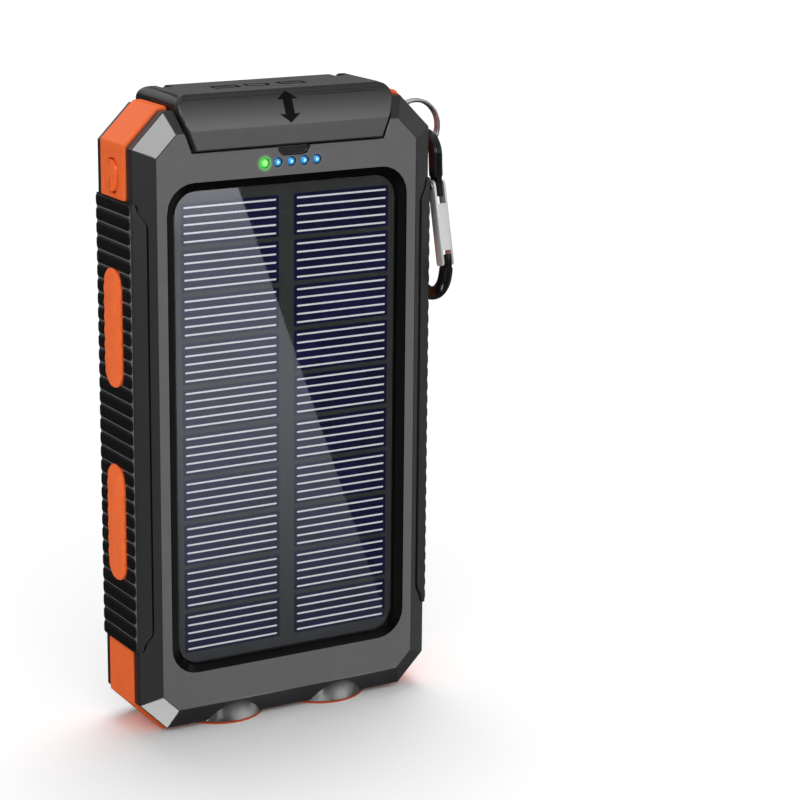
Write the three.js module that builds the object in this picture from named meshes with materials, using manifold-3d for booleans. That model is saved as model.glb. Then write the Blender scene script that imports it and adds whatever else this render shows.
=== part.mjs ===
// Rugged solar power bank: two hard shells on a coloured mid frame, a solar panel in the
// front, two torches in the lamp end, a flip cover over the sockets at the other end, a
// capsule compass in the rear and a split ring with a carabiner on one corner.
// Millimetres. +Z from the lamp end to the socket end, +X to the carabiner side,
// the solar face looks along -Y. The origin is the middle of the lamp end face.

import * as THREE from "three";
import Module from "manifold-3d";
import { mergeVertices } from "three/addons/utils/BufferGeometryUtils.js";

const wasm = await Module();
wasm.setup();

// ---------- driving dimensions ----------
const SHELL_HALF_W = 36.6;      // half width at the foot of the bevels
const SHELL_Z0 = 1.0;             // the coloured band and the lamp rims reach a little lower
const SHELL_Z1 = 139.6;
const SHELL_CORNER = 7.5;       // 45 degree corner cut, top
const SHELL_CORNER_BOTTOM = 6.6;
const BEVEL_RUN = 4.7;          // in-plane width of the front and rear bevels
const BEVEL_DEPTH = 2.5;
const FACE_Y = 11;              // front face at -11, rear face at +11
const EDGE_Y = 8.5;             // foot of the bevels
const SPLIT_Y = 6;              // the shells meet the mid frame here
const MID_HALF_W = 37.2;
const MID_Z1 = 140.5;
const MID_CORNER_TOP = 7.9;
const MID_CORNER_BOTTOM = 7.3;
const MID_SEAT_HALF_W = 36.2;   // lowered band under the grips
const MID_INNER_HALF_W = 34.8;
const GRIP_Z0 = 20;
const GRIP_Z1 = 120.5;
const GRIP_OUT = 37.5;
const RIB_PITCH = 3.15;
const INLAY_Z = [[34.8, 61.5], [78.8, 105.4]];
const INLAY_HALF_Y = 4.4;
const PANEL_HALF_W = 27.3;
const PANEL_Z0 = 15.8;
const PANEL_Z1 = 122.3;
const PANEL_R = 5;
const GLAZING_Y = 10;           // glazing face, 1 mm below the front face
const TRAY_Y = 8;               // floor of the panel tray
const LAMP_X = 13.2;
const LAMP_OUT_R = 10.75;
const COLLAR_R = 9.4;
const COLLAR_RIM_R = 10.6;     // thin rim of the collar, seen below the black barrel
const COLLAR_RIM_T = 0.45;
const BARREL_Z0 = 0.6;
const LENS_R = 7.2;
const REFLECTOR_R = 8.0;
const HINGE_Y = 7.8;
const HINGE_Z = 139.8;
const HINGE_R = 3.0;
const COVER_TOP = 142.8;
const PORT_PANEL_Z1 = 135.5;
const LED_X = [-6.1, -2.9, 0.4, 3.6, 6.7];
const LED_Z = 127.3;
const BUTTON_Z = 125.5;
const COMPASS_Z = 120.5;
const COMPASS_R = 8.5;
const RING_C = [38.2, 0.5, 130.6];
const RING_R = 6.1;             // mean radius
const CARAB_X = 41.4;           // plane of the carabiner
const ROD_R = 1.6;
const GATE_PIN = [-4.5, 117.5]; // y, z

// ---------- solids from three.js geometry ----------
function solid(geometry) {
  let g = geometry.clone();
  g.deleteAttribute("normal");
  if (g.getAttribute("uv")) g.deleteAttribute("uv");
  g = mergeVertices(g, 1e-4);
  const p = g.getAttribute("position");
  const idx = g.index.array;
  const tri = [];
  let vol = 0;
  const a = new THREE.Vector3(), b = new THREE.Vector3(), c = new THREE.Vector3();
  for (let i = 0; i < idx.length; i += 3) {
    const [i0, i1, i2] = [idx[i], idx[i + 1], idx[i + 2]];
    if (i0 === i1 || i1 === i2 || i0 === i2) continue;
    a.fromBufferAttribute(p, i0); b.fromBufferAttribute(p, i1); c.fromBufferAttribute(p, i2);
    vol += a.dot(b.cross(c));
    tri.push(i0, i1, i2);
  }
  if (vol < 0) for (let i = 0; i < tri.length; i += 3) [tri[i + 1], tri[i + 2]] = [tri[i + 2], tri[i + 1]];
  return new wasm.Manifold(new wasm.Mesh({
    numProp: 3,
    vertProperties: new Float32Array(p.array),
    triVerts: new Uint32Array(tri),
  }));
}
function geometryOf(man) {
  const m = man.getMesh();
  const g = new THREE.BufferGeometry();
  const pos = new Float32Array(m.vertProperties.length / m.numProp * 3);
  for (let i = 0; i < pos.length / 3; i++) for (let k = 0; k < 3; k++) pos[3 * i + k] = m.vertProperties[m.numProp * i + k];
  g.setAttribute("position", new THREE.BufferAttribute(pos, 3));
  g.setIndex(new THREE.BufferAttribute(new Uint32Array(m.triVerts), 1));
  g.computeVertexNormals();
  return g;
}
const join = (first, ...rest) => rest.reduce((s, r) => s.add(r), first);
const cut = (first, ...rest) => rest.reduce((s, r) => s.subtract(r), first);

function box(x0, x1, y0, y1, z0, z1) {
  const g = new THREE.BoxGeometry(x1 - x0, y1 - y0, z1 - z0);
  g.translate((x0 + x1) / 2, (y0 + y1) / 2, (z0 + z1) / 2);
  return solid(g);
}
const shapeOf = (pts) => new THREE.Shape(pts.map(([u, v]) => new THREE.Vector2(u, v)));
const toX = new THREE.Matrix4().makeBasis(new THREE.Vector3(0, 1, 0), new THREE.Vector3(0, 0, 1), new THREE.Vector3(1, 0, 0));
const toY = new THREE.Matrix4().makeBasis(new THREE.Vector3(1, 0, 0), new THREE.Vector3(0, 0, 1), new THREE.Vector3(0, -1, 0));
function prismY(ptsXZ, y0, y1, bevel) {        // section in x,z
  const g = new THREE.ExtrudeGeometry(shapeOf(ptsXZ), { depth: y1 - y0, curveSegments: 1,
    bevelEnabled: !!bevel, ...(bevel ? { bevelThickness: bevel.depth, bevelSize: bevel.run, bevelOffset: -bevel.run, bevelSegments: 1 } : {}) });
  g.applyMatrix4(toY);
  g.translate(0, y1, 0);
  return solid(g);
}
function prismX(ptsYZ, x0, x1) {               // section in y,z
  const g = new THREE.ExtrudeGeometry(shapeOf(ptsYZ), { depth: x1 - x0, bevelEnabled: false });
  g.applyMatrix4(toX);
  g.translate(x0, 0, 0);
  return solid(g);
}
function prismZ(ptsXY, z0, z1) {
  const g = new THREE.ExtrudeGeometry(shapeOf(ptsXY), { depth: z1 - z0, bevelEnabled: false });
  g.translate(0, 0, z0);
  return solid(g);
}
function discPts(r, n, cx = 0, cy = 0) {
  const o = [];
  for (let i = 0; i < n; i++) { const a = 2 * Math.PI * (i + 0.5) / n; o.push([cx + r * Math.cos(a), cy + r * Math.sin(a)]); }
  return o;
}
const cylX = (r, x0, x1, y, z, n = 16) => prismX(discPts(r, n, y, z), x0, x1);
const cylY = (r, y0, y1, x, z, n = 16) => prismY(discPts(r, n, x, z), y0, y1);
const cylZ = (r, z0, z1, x, y, n = 32) => prismZ(discPts(r, n, x, y), z0, z1);
function latheZ(profile, x, y, n = 32) {       // profile of [radius, z]
  const g = new THREE.LatheGeometry(profile.map(([r, z]) => new THREE.Vector2(r, z)), n);
  g.rotateX(Math.PI / 2);
  g.translate(x, y, 0);
  return solid(g);
}
function latheY(profile, x, z, n = 32) {       // profile of [radius, y]
  const g = new THREE.LatheGeometry(profile.map(([r, y]) => new THREE.Vector2(r, y)), n);
  g.translate(x, 0, z);
  return solid(g);
}
function roundRect(u0, u1, v0, v1, r, n = 4) {
  const o = [];
  const c = [[u1 - r, v0 + r, -90], [u1 - r, v1 - r, 0], [u0 + r, v1 - r, 90], [u0 + r, v0 + r, 180]];
  for (const [cu, cv, a0] of c) for (let i = 0; i <= n; i++) {
    const a = (a0 + 90 * i / n) * Math.PI / 180;
    o.push([cu + r * Math.cos(a), cv + r * Math.sin(a)]);
  }
  return o;
}
function tube(points, r, sides, steps) {       // round bar along a smooth line
  const path = new THREE.CatmullRomCurve3(points.map((p) => new THREE.Vector3(...p)), false, "centripetal");
  const g = new THREE.ExtrudeGeometry(shapeOf(discPts(r, sides)), { steps, extrudePath: path, bevelEnabled: false });
  return solid(g);
}
const mirrorPts = (pts) => [...pts].reverse().map(([u, v]) => [-u, v]);
const trapezoid = (pts) => [...pts, ...mirrorPts(pts)];   // right half, bottom to top

// ---------- assembly ----------
const charger = new THREE.Group();
charger.name = "solar_power_bank";
const looks = {
  shell: { color: 0x3a3a3c, roughness: 0.5, metalness: 0 },
  orange: { color: 0xe8652e, roughness: 0.45, metalness: 0 },
  rubber: { color: 0x1c1c1e, roughness: 0.75, metalness: 0 },
  cover: { color: 0x4c4b4d, roughness: 0.5, metalness: 0 },
  cells: { color: 0x15153a, roughness: 0.25, metalness: 0 },
  clear: { color: 0xe8eef2, roughness: 0.05, metalness: 0 },
  mirror: { color: 0xe6e6e6, roughness: 0.08, metalness: 1 },
  steel: { color: 0xb9bcc0, roughness: 0.25, metalness: 1 },
  black: { color: 0x0d0d0e, roughness: 0.25, metalness: 0 },
  board: { color: 0x1d5b34, roughness: 0.45, metalness: 0 },
  chip: { color: 0x161616, roughness: 0.4, metalness: 0 },
  foil: { color: 0xc3c6ca, roughness: 0.35, metalness: 0.9 },
  foam: { color: 0x2e2e30, roughness: 0.95, metalness: 0 },
  glue: { color: 0xd9d4c4, roughness: 0.7, metalness: 0 },
  emitter: { color: 0xf4e9a0, roughness: 0.4, metalness: 0 },
  green: { color: 0x3fe05a, roughness: 0.2, metalness: 0 },
  blue: { color: 0x58b8ff, roughness: 0.2, metalness: 0 },
  red: { color: 0xb3241d, roughness: 0.5, metalness: 0 },
};
for (const k of Object.keys(looks)) looks[k] = new THREE.MeshStandardMaterial(looks[k]);
function part(name, man, look, parent = charger) {
  const mesh = new THREE.Mesh(geometryOf(man), looks[look]);
  mesh.name = name;
  parent.add(mesh);
  return mesh;
}

// Outer form shared by both shells
const octagon = (w, z0, z1, cb, ct) => [[w - cb, z0], [w, z0 + cb], [w, z1 - ct], [w - ct, z1],
  [-(w - ct), z1], [-w, z1 - ct], [-w, z0 + cb], [-(w - cb), z0]];
const outer = prismY(octagon(SHELL_HALF_W, SHELL_Z0, SHELL_Z1, SHELL_CORNER_BOTTOM, SHELL_CORNER), -EDGE_Y, EDGE_Y,
  { depth: BEVEL_DEPTH, run: BEVEL_RUN });
const lampBores = [];
for (const s of [-1, 1]) {
  lampBores.push(cylZ(COLLAR_R + 0.3, -1, 3.3, s * LAMP_X, 0));
  lampBores.push(cylZ(REFLECTOR_R + 0.4, 3.2, 16, s * LAMP_X, 0));
  lampBores.push(cylZ(COLLAR_RIM_R + 0.35, -1, BARREL_Z0, s * LAMP_X, 0));
}
const barrels = [-1, 1].map((s) => cylZ(LAMP_OUT_R, BARREL_Z0, 14, s * LAMP_X, 0));
const coverNotch = trapezoid([[23.6, 130.7], [25.4, 135.5], [27.1, 142.8], [27.1, 145]]);

// --- front shell with the panel tray, indicator holes and thumb notch ---
{
  let f = join(outer, ...barrels).intersect(box(-60, 60, -20, -SPLIT_Y, -5, 150));
  const trayPts = roundRect(-PANEL_HALF_W - 0.3, PANEL_HALF_W + 0.3, PANEL_Z0 - 0.3, PANEL_Z1 + 0.3, PANEL_R + 0.3, 6);
  const mouthPts = roundRect(-29.5, 29.5, 14.0, 124.3, 6.4, 6);
  const slope = prismY(mouthPts, -13, -FACE_Y, { depth: 1.0, run: 1.9 });
  f = cut(f, ...lampBores,
    prismY(trayPts, -GLAZING_Y - 0.3, -TRAY_Y), slope,
    box(-34.6, 34.6, -6.75, -5, 3.6, 133.5),                 // shallow room behind the tray
    box(-28.4, 28.4, -9.25, -6, 125.2, 133.5),               // deeper room behind the indicators
    box(-6, 6, -9, -6, 117, 120),                            // slot for the panel leads
    prismY(coverNotch, -20, 0).intersect(box(-40, 40, -20, 0, 135.5, 150)),
    prismY(coverNotch, -20, -9.9),
    prismY([[-2.7, 130.9], [-2.7, 129.7], [-1.9, 128.9], [-1.1, 128.7], [3.2, 128.7], [4.1, 128.9], [4.9, 129.7], [4.9, 130.9]], -20, -10.2),
    ...LED_X.map((x) => cylY(1.0, -20, -9, x, LED_Z)));
  for (const s of [-1, 1]) f = cut(join(f, cylY(2.2, -9.3, -6.25, s * 25, 129.5, 12)), cylY(0.85, -9.0, -6, s * 25, 129.5, 8));
  part("front_shell", f, "shell");
}

// --- rear shell with compass seat, dotted pad seat, grooves and hinge knuckles ---
{
  let r = join(outer, ...barrels).intersect(box(-60, 60, SPLIT_Y, 20, -5, 150));
  const bowl = trapezoid([[12.5, 107.2], [15.6, 107.9], [18.2, 110.6], [26.0, 134.2], [26.0, 134.4]]);
  const plateFrame = (t, z0, z1, w0, w1) => cut(
    prismY([[w0, z0], [w1, z1], [-w1, z1], [-w0, z0]], FACE_Y - 0.45, 20),
    prismY([[w0 - 1.3, z0 + 0.8], [w1 - 1.3, z1 - 0.8], [-w1 + 1.3, z1 - 0.8], [-w0 + 1.3, z0 + 0.8]], FACE_Y - 0.5, 20));
  const padSeat = [[-19.0, 24], [19.0, 24], [25.5, 30.5], [25.5, 87.5], [19.0, 94], [-19.0, 94], [-25.5, 87.5], [-25.5, 30.5]];
  r = cut(r, ...lampBores,
    box(-33, 33, 5, 9, 3.6, 133.0),
    prismY(trapezoid([[26.5, 136.4], [27.1, 142.8], [27.1, 145]]), 0, 20),
    prismX([[8.3, 136.7], [11.3, 132.9], [11.3, 137.2], [8.3, 137.2]], -26.4, 26.4),
    prismY(bowl, FACE_Y - 0.75, 20),
    cylY(COMPASS_R + 0.3, 0, 20, 0, COMPASS_Z, 32),
    plateFrame(0, 95.2, 105.2, 13.8, 18.5),
    prismY(roundRect(-12.2, 12.2, 99.4, 101.4, 0.95, 3), FACE_Y - 0.8, 20),
    plateFrame(0, 7.0, 16.0, 16.6, 12.0),
    prismY(roundRect(-10.5, 10.5, 10.6, 12.4, 0.85, 3), FACE_Y - 0.8, 20),
    prismY(padSeat, FACE_Y - 0.6, 20),
    cylY(2.0, 8.0, 20, 29.7, 130.6, 16));
  for (const s of [-1, 1]) {
    const gx = s * 30.6;
    r = cut(r, prismY(roundRect(gx - 0.75, gx + 0.75, 26, 124.5, 0.7, 2), FACE_Y - 0.5, 20),
      prismY(roundRect(gx - 0.75, gx + 0.75, 8, 21, 0.7, 2), FACE_Y - 0.5, 20));
    const [k0, k1] = s < 0 ? [-22.5, -20.5] : [20.5, 22.5];
    const lobe = join(cylX(2.4, k0, k1, HINGE_Y, HINGE_Z, 20), box(k0, k1, HINGE_Y - 2.2, HINGE_Y + 2.0, 135.6, HINGE_Z));
    r = cut(join(r, lobe), cylX(1.0, k0 - 1, k1 + 1, HINGE_Y, HINGE_Z, 16));
  }
  part("rear_shell", r, "shell");
}

// --- mid frame: the coloured band, lamp collars and the ring eyelet ---
{
  const band = prismY(octagon(MID_HALF_W, 0, MID_Z1, MID_CORNER_BOTTOM, MID_CORNER_TOP), -SPLIT_Y, SPLIT_Y);
  const inner = prismY([[-28.7, 2.2], [28.7, 2.2], [34.8, 8.3], [34.8, 121.5], [29.5, 121.5], [29.5, 133.7], [-31.4, 133.7],
    [-34.8, 130.3], [-34.8, 8.3]], -20, 20);
  let m = cut(band, inner, box(-27.1, 27.1, -20, 20, 133.0, 150));
  for (const s of [-1, 1]) {
    const seat = s > 0 ? box(MID_SEAT_HALF_W, 50, -20, 20, GRIP_Z0 - 0.2, GRIP_Z1 + 0.2) : box(-50, -MID_SEAT_HALF_W, -20, 20, GRIP_Z0 - 0.2, GRIP_Z1 + 0.2);
    m = cut(m, seat);
  }
  for (const s of [-1, 1]) m = join(m, cylZ(COLLAR_R, 0, 3.1, s * LAMP_X, 0), cylZ(COLLAR_RIM_R, 0, COLLAR_RIM_T, s * LAMP_X, 0));
  for (const s of [-1, 1]) m = cut(m, latheZ([[0, -1], [8.9, -1], [8.9, 0.0], [7.5, 1.6], [7.5, 4], [0, 4]], s * LAMP_X, 0));
  m = cut(m, prismX(roundRect(-2.95, 2.95, BUTTON_Z - 3.75, BUTTON_Z + 3.75, 2.8, 5), -40, -34));
  const eye = new THREE.TorusGeometry(RING_R, 1.7, 12, 36);
  eye.rotateX(Math.PI / 2);
  eye.translate(...RING_C);
  m = cut(m, solid(eye));
  part("mid_frame", m, "orange");
}

// --- socket panel under the flip cover ---
const USB_A = [-14.5, 14.5];
{
  let p = box(-26.6, 26.6, -5.9, 5.9, 133.9, PORT_PANEL_Z1);
  for (const x of USB_A) p = cut(p, box(x - 6.8, x + 6.8, -5.25, 0.95, 130, 140));
  p = cut(p, box(-4.1, 4.1, -5.25, -2.05, 130, 140));
  part("port_panel", p, "black");
  // gasket lying on the socket panel, pressed by the closed cover
  const gasket = cut(prismZ(roundRect(-22.9, 22.9, -5.8, 3.4, 1.6, 3), PORT_PANEL_Z1, 137.0),
    prismZ(roundRect(-21.7, 21.7, -5.35, 2.2, 1.0, 3), 134, 139));
  part("port_gasket", gasket, "rubber");
}

// --- side grips with their coloured inlays ---
const gripHalf = [[34.0, -9.97], [34.32, -10.56], [37.3, -8.97], [GRIP_OUT, -8.6]];
const gripSection = [...gripHalf, ...[...gripHalf].reverse().map(([x, y]) => [x, -y]),
  [36.68, 8.55], [36.68, 5.9], [36.26, 5.9], [36.26, -5.9], [36.68, -5.9], [36.68, -8.55]];
for (const [side, s] of [["left", -1], ["right", 1]]) {
  let g = prismZ(s > 0 ? gripSection : mirrorPts(gripSection), GRIP_Z0, GRIP_Z1);
  for (let z = GRIP_Z0 + 2.1; z < GRIP_Z1 - 1.5; z += RIB_PITCH) {
    if (INLAY_Z.some(([a, b]) => z > a - 1.4 && z < b + 1.4)) continue;
    const [x0, x1] = s > 0 ? [36.95, 39] : [-39, -36.95];
    g = cut(g, box(x0, x1, -8.3, 8.3, z - 0.55, z + 0.55));
  }
  INLAY_Z.forEach(([a, b], i) => {
    const [w0, w1] = s > 0 ? [30, 45] : [-45, -30];
    g = cut(g, prismX(roundRect(-INLAY_HALF_Y, INLAY_HALF_Y, a, b, 2.6, 3), w0, w1));
    const [x0, x1] = s > 0 ? [36.26, 37.85] : [-37.85, -36.26];
    part(`${side}_grip_inlay_${i ? "upper" : "lower"}`, prismX(roundRect(-INLAY_HALF_Y + 0.2, INLAY_HALF_Y - 0.2, a + 0.2, b - 0.2, 2.4, 3), x0, x1), "orange");
  });
  part(`${side}_grip`, g, "rubber");
}

// --- flip cover over the sockets ---
{
  const arc = (r, a0, a1, n) => Array.from({ length: n + 1 }, (_, i) => {
    const a = (a0 + (a1 - a0) * i / n) * Math.PI / 180;
    return [HINGE_Y + r * Math.cos(a), HINGE_Z + r * Math.sin(a)];
  });
  const skin = [[-11.8, 131.0], [-10.4, 131.0], [-10.4, 135.2], [-7.5, 141.2], [4.6, 141.2], ...arc(HINGE_R, 205, 450, 10), [-8.3, COVER_TOP], [-9.85, 140.6], [-11.04, 138.1], [-11.8, 135.5]];
  const full = [[-11.8, 131.0], [-10.4, 131.0], [-10.4, 135.2], [-9.6, 136.0], [4.4, 136.6], [4.6, 139.0], ...arc(HINGE_R, 205, 450, 10), [-8.3, COVER_TOP], [-9.85, 140.6], [-11.04, 138.1], [-11.8, 135.5]];
  const outline = trapezoid([[23.0, 131.0], [24.8, 135.5], [26.3, 139.9], [26.2, 141.0], [25.7, 141.9], [24.8, 142.5], [23.6, COVER_TOP]]);
  const inside = trapezoid([[21.6, 130], [23.4, 135.5], [24.6, 141.2]]);
  let c = join(prismX(skin, -30, 30), prismX(full, -30, 30).subtract(prismY(inside, -20, 20)));
  c = c.intersect(prismY(outline, -20, 20));
  for (const s of [-1, 1]) {
    const [k0, k1] = s < 0 ? [-22.9, -20.1] : [20.1, 22.9];
    c = cut(c, box(k0, k1, 4.9, 12, 134, 145));
  }
  c = cut(c, cylX(1.0, -24.6, 24.6, HINGE_Y, HINGE_Z, 16));
  part("usb_cover", c, "cover");
  part("cover_hinge_pin", cylX(0.7, -24.2, 24.2, HINGE_Y, HINGE_Z, 16), "steel");
}

// --- power key and its switch ---
{
  const key = (m) => roundRect(-2.7 - m, 2.7 + m, BUTTON_Z - 3.5 - m, BUTTON_Z + 3.5 + m, 2.6 + m, 5);
  part("power_button", join(prismX(key(0), -37.8, -34.4), prismX(key(0.7), -34.5, -33.9), cylX(1.0, -34, -33.4, 0, BUTTON_Z, 12)), "orange");
  part("power_switch", join(box(-32.4, -28.6, -5.15, 1.6, 123.2, 127.8), cylX(0.9, -32.9, -32.3, 0, BUTTON_Z, 12)), "chip");
}

// --- solar panel stack ---
{
  const lam = roundRect(-PANEL_HALF_W, PANEL_HALF_W, PANEL_Z0, PANEL_Z1, PANEL_R, 6);
  part("solar_panel_glazing", prismY(lam, -GLAZING_Y, -9.25), "clear");
  part("solar_cell_board", prismY(lam, -9.25, -8.25), "cells");
  part("panel_adhesive", prismY(roundRect(-25.5, 25.5, 17.5, 115.5, 3, 3), -8.25, -TRAY_Y), "glue");
}

// --- torches ---
for (const [side, s] of [["left", -1], ["right", 1]]) {
  const x = s * LAMP_X;
  part(`${side}_lamp_lens`, latheZ([[0, 0.8], [3.2, 0.95], [5.6, 1.35], [LENS_R, 2.0], [LENS_R, 3.0], [0, 3.0]], x, 0, 32), "clear");
  part(`${side}_lamp_reflector`, latheZ([[REFLECTOR_R, 3.2], [REFLECTOR_R, 4.2], [6.9, 7.6], [4.4, 10.6], [4.4, 11.6], [3.0, 11.6], [3.0, 10.7], [5.7, 7.2], [7.1, 3.2], [REFLECTOR_R, 3.2]], x, 0, 24), "mirror");
  part(`${side}_lamp_emitter`, latheZ([[0, 10.6], [1.1, 10.8], [1.7, 11.3], [2.4, 11.4], [2.4, 12.3], [0, 12.3]], x, 0, 16), "emitter");
}
part("lamp_board", prismZ(roundRect(-22, 22, -5.5, 5.5, 1.5, 2), 12.3, 13.3), "board");

// --- electronics ---
{
  let b = box(-30, 28.6, -6.25, -5.25, 111, 133.2);
  b = cut(b, cylY(1.15, -8, -4, -25, 129.5, 12), cylY(1.15, -8, -4, 25, 129.5, 12));
  part("main_board", b, "board");
  for (const [side, s] of [["left", -1], ["right", 1]]) {
    const x = USB_A[s < 0 ? 0 : 1];
    const shell = cut(box(x - 6.55, x + 6.55, -5.0, 0.7, 121.2, 135.4), box(x - 6.2, x + 6.2, -4.65, 0.35, 122.6, 140));
    part(`${side}_usb_a_socket`, join(shell, box(x - 5.5, x + 5.5, -3.9, -2.1, 122.0, 134.2)), "steel");
    part(`${side}_board_screw`, join(cylY(1.9, -5.2, -4.0, s * 25, 129.5, 14), cylY(0.7, -8.8, -5.1, s * 25, 129.5, 10)), "steel");
  }
  part("micro_usb_socket", join(cut(box(-3.8, 3.8, -5.0, -2.3, 129.8, 135.4), box(-3.45, 3.45, -4.65, -2.65, 130.6, 140)), box(-1.8, 1.8, -4.0, -3.3, 130.2, 134.6)), "steel");
  part("charge_controller", box(-5, 2, -5.2, -4.0, 113.4, 120.4), "chip");
  part("boost_inductor", prismY(roundRect(7, 14, 112.4, 119.4, 1.6, 2), -5.2, -1.4), "chip");
}

// --- battery pack ---
{
  const cell = (y0, y1) => prismZ(roundRect(-31, 31, y0, y1, 1.6, 3), 17, 107);
  part("front_battery_cell", cell(-6.5, 0.5), "foil");
  part("rear_battery_cell", cell(1.25, 8.25), "foil");
  part("battery_foam", box(-28, 28, 0.5, 1.25, 20, 104), "foam");
  part("battery_protection_board", box(-14, 14, 0.4, 1.4, 107.2, 110.6), "board");
  const lead = (pts, r, steps) => tube(pts, r, 8, steps);
  part("battery_lead_positive", lead([[-10, 0.0, 109.6], [-10, -1.0, 110.4], [-10, -2.4, 112.6], [-10, -3.9, 114.2], [-10, -4.5, 115.4], [-10, -4.55, 116.6]], 0.6, 10), "red");
  part("battery_lead_negative", lead([[-7.6, 0.0, 109.6], [-7.6, -1.0, 110.4], [-7.6, -2.4, 112.6], [-7.6, -3.9, 114.2], [-7.6, -4.5, 115.4], [-7.6, -4.55, 116.6]], 0.6, 10), "chip");
  part("panel_lead_positive", cylY(0.5, -8.1, -6.35, 3, 118.5, 8), "red");
  part("panel_lead_negative", cylY(0.5, -8.1, -6.35, -3, 118.5, 8), "chip");
  const lampLead = (y) => [[-19, y, 13.9], [-25, y, 13.95], [-29.8, y, 14.5], [-32.6, y, 17.0], [-33.1, y, 21], [-33.1, y, 64], [-33.1, y, 105], [-32.4, y, 109.5], [-30.4, y - 1.6, 112.4], [-29.0, y - 3.4, 113.4]];
  part("lamp_lead_positive", lead(lampLead(-1.2), 0.5, 28), "red");
  part("lamp_lead_negative", lead(lampLead(1.2), 0.5, 28), "chip");
}

// --- charge indicators: light pipes through the front wall ---
LED_X.forEach((x, i) => {
  part(`indicator_light_${i + 1}`, latheY([[0, -11.0], [0.6, -10.95], [0.8, -10.75], [0.8, -9.1], [1.3, -9.1], [1.3, -8.2], [0.8, -8.2], [0.8, -6.4], [0, -6.4]], x, LED_Z, 12), i ? "blue" : "green");
});

// --- capsule compass in the rear ---
part("compass_bowl", latheY([[0, 5.6], [8.1, 5.6], [8.5, 6.0], [COMPASS_R, 10.6], [8.2, 10.95], [7.7, 10.95], [7.6, 10.6], [7.6, 6.6], [0, 6.6]], 0, COMPASS_Z, 32), "black");
part("compass_pivot", latheY([[0, 6.6], [1.0, 6.6], [1.0, 7.2], [0.35, 7.5], [0.3, 8.3], [0, 8.6]], 0, COMPASS_Z, 12), "steel");
part("compass_card", latheY([[0.55, 8.0], [1.3, 8.0], [1.3, 8.6], [6.9, 8.6], [6.9, 9.0], [1.3, 9.0], [1.1, 9.4], [0, 9.4], [0, 8.95], [0.55, 8.8], [0.55, 8.0]], 0, COMPASS_Z, 32), "black");
part("compass_dome", latheY([[0, 9.75], [7.35, 9.6], [7.35, 10.2], [5.6, 10.6], [3.0, 10.85], [0, 10.9]], 0, COMPASS_Z, 32), "clear");

// --- split ring through the corner eyelet, and the carabiner hanging on it ---
{
  const w = 0.47;
  const pr = [[-0.48, 0.35], [-0.48, 0.6], [-0.2, 0.95], [0.2, 0.95], [0.48, 0.6], [0.48, 0.35], [0.36, 0], [0.48, -0.35], [0.48, -0.6], [0.2, -0.95], [-0.2, -0.95], [-0.48, -0.6], [-0.48, -0.35], [-0.36, 0], [-0.48, 0.35]];
  part("split_ring", latheY(pr.map(([r, y]) => [RING_R + r, RING_C[1] + y]), RING_C[0], RING_C[2], 32), "steel");

  // centre line in the plane x = CARAB_X
  const line = [[-4.75, 115.2], [-4.25, 118.2], [-3.85, 121.4], [-3.65, 124.2]];
  for (let a = 160; a >= 15; a -= 29) line.push([0.8 + 4.5 * Math.cos(a * Math.PI / 180), 124.0 + 4.5 * Math.sin(a * Math.PI / 180)]);
  line.push([5.35, 120.5], [5.5, 110.0], [5.5, 102.0]);
  for (let a = -6; a >= -180; a -= 29) line.push([-1.75 + 7.2 * Math.cos(a * Math.PI / 180), 99.45 + 7.2 * Math.sin(a * Math.PI / 180)]);
  line.push([-8.8, 101.0], [-8.5, 102.4]);
  let body = tube(line.map(([y, z]) => [CARAB_X, y, z]), ROD_R, 10, 56);
  // both ends are flattened to tongues that the gate straddles
  for (const s of [-1, 1]) {
    const [x0, x1] = s < 0 ? [CARAB_X - 3, CARAB_X - 0.75] : [CARAB_X + 0.75, CARAB_X + 3];
    body = cut(body, box(x0, x1, -8.5, -2.0, 112, 120.0), box(x0, x1, -12, -6.5, 99.2, 104));
  }
  body = cut(body, cylX(0.7, 36, 46, GATE_PIN[0], GATE_PIN[1], 12));
  part("carabiner_body", body, "black");

  // gate: two cheeks and a web along the line from the pin to the nose
  const [py, pz] = GATE_PIN;
  const [ny, nz] = [-8.75, 99.9];
  const len = Math.hypot(ny - py, nz - pz);
  const [vy, vz] = [(py - ny) / len, (pz - nz) / len];   // along the gate, towards the pin
  const lean = (pts) => pts.map(([u, v]) => [py + u * vz + v * vy, pz - u * vy + v * vz]);
  const cheek = lean([[-1.3, 0.8], [-0.8, 1.5], [0.8, 1.5], [1.3, 0.8], [1.4, -len], [-1.4, -len]]);
  const web = lean([[-1.5, -4.0], [-0.85, -4.0], [-0.85, -len + 3.4], [-1.5, -len + 3.4]]);
  let gate = join(prismX(cheek, CARAB_X - 1.6, CARAB_X - 1.05), prismX(cheek, CARAB_X + 1.05, CARAB_X + 1.6), prismX(web, CARAB_X - 1.6, CARAB_X + 1.6));
  gate = cut(gate, cylX(0.62, 36, 46, py, pz, 12));
  part("carabiner_gate", gate, "steel");
  part("gate_pin", cylX(0.55, CARAB_X - 2.0, CARAB_X + 2.0, py, pz, 12), "steel");
  const sp = lean([[-0.6, -4.2], [0.6, -4.2], [0.6, -8.0], [-0.6, -8.0]]);
  part("gate_spring", prismX(sp, CARAB_X - 0.5, CARAB_X + 0.5), "steel");
}

export default charger;
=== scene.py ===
import math
import bpy
import bmesh
from mathutils import Vector, Matrix, noise


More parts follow.
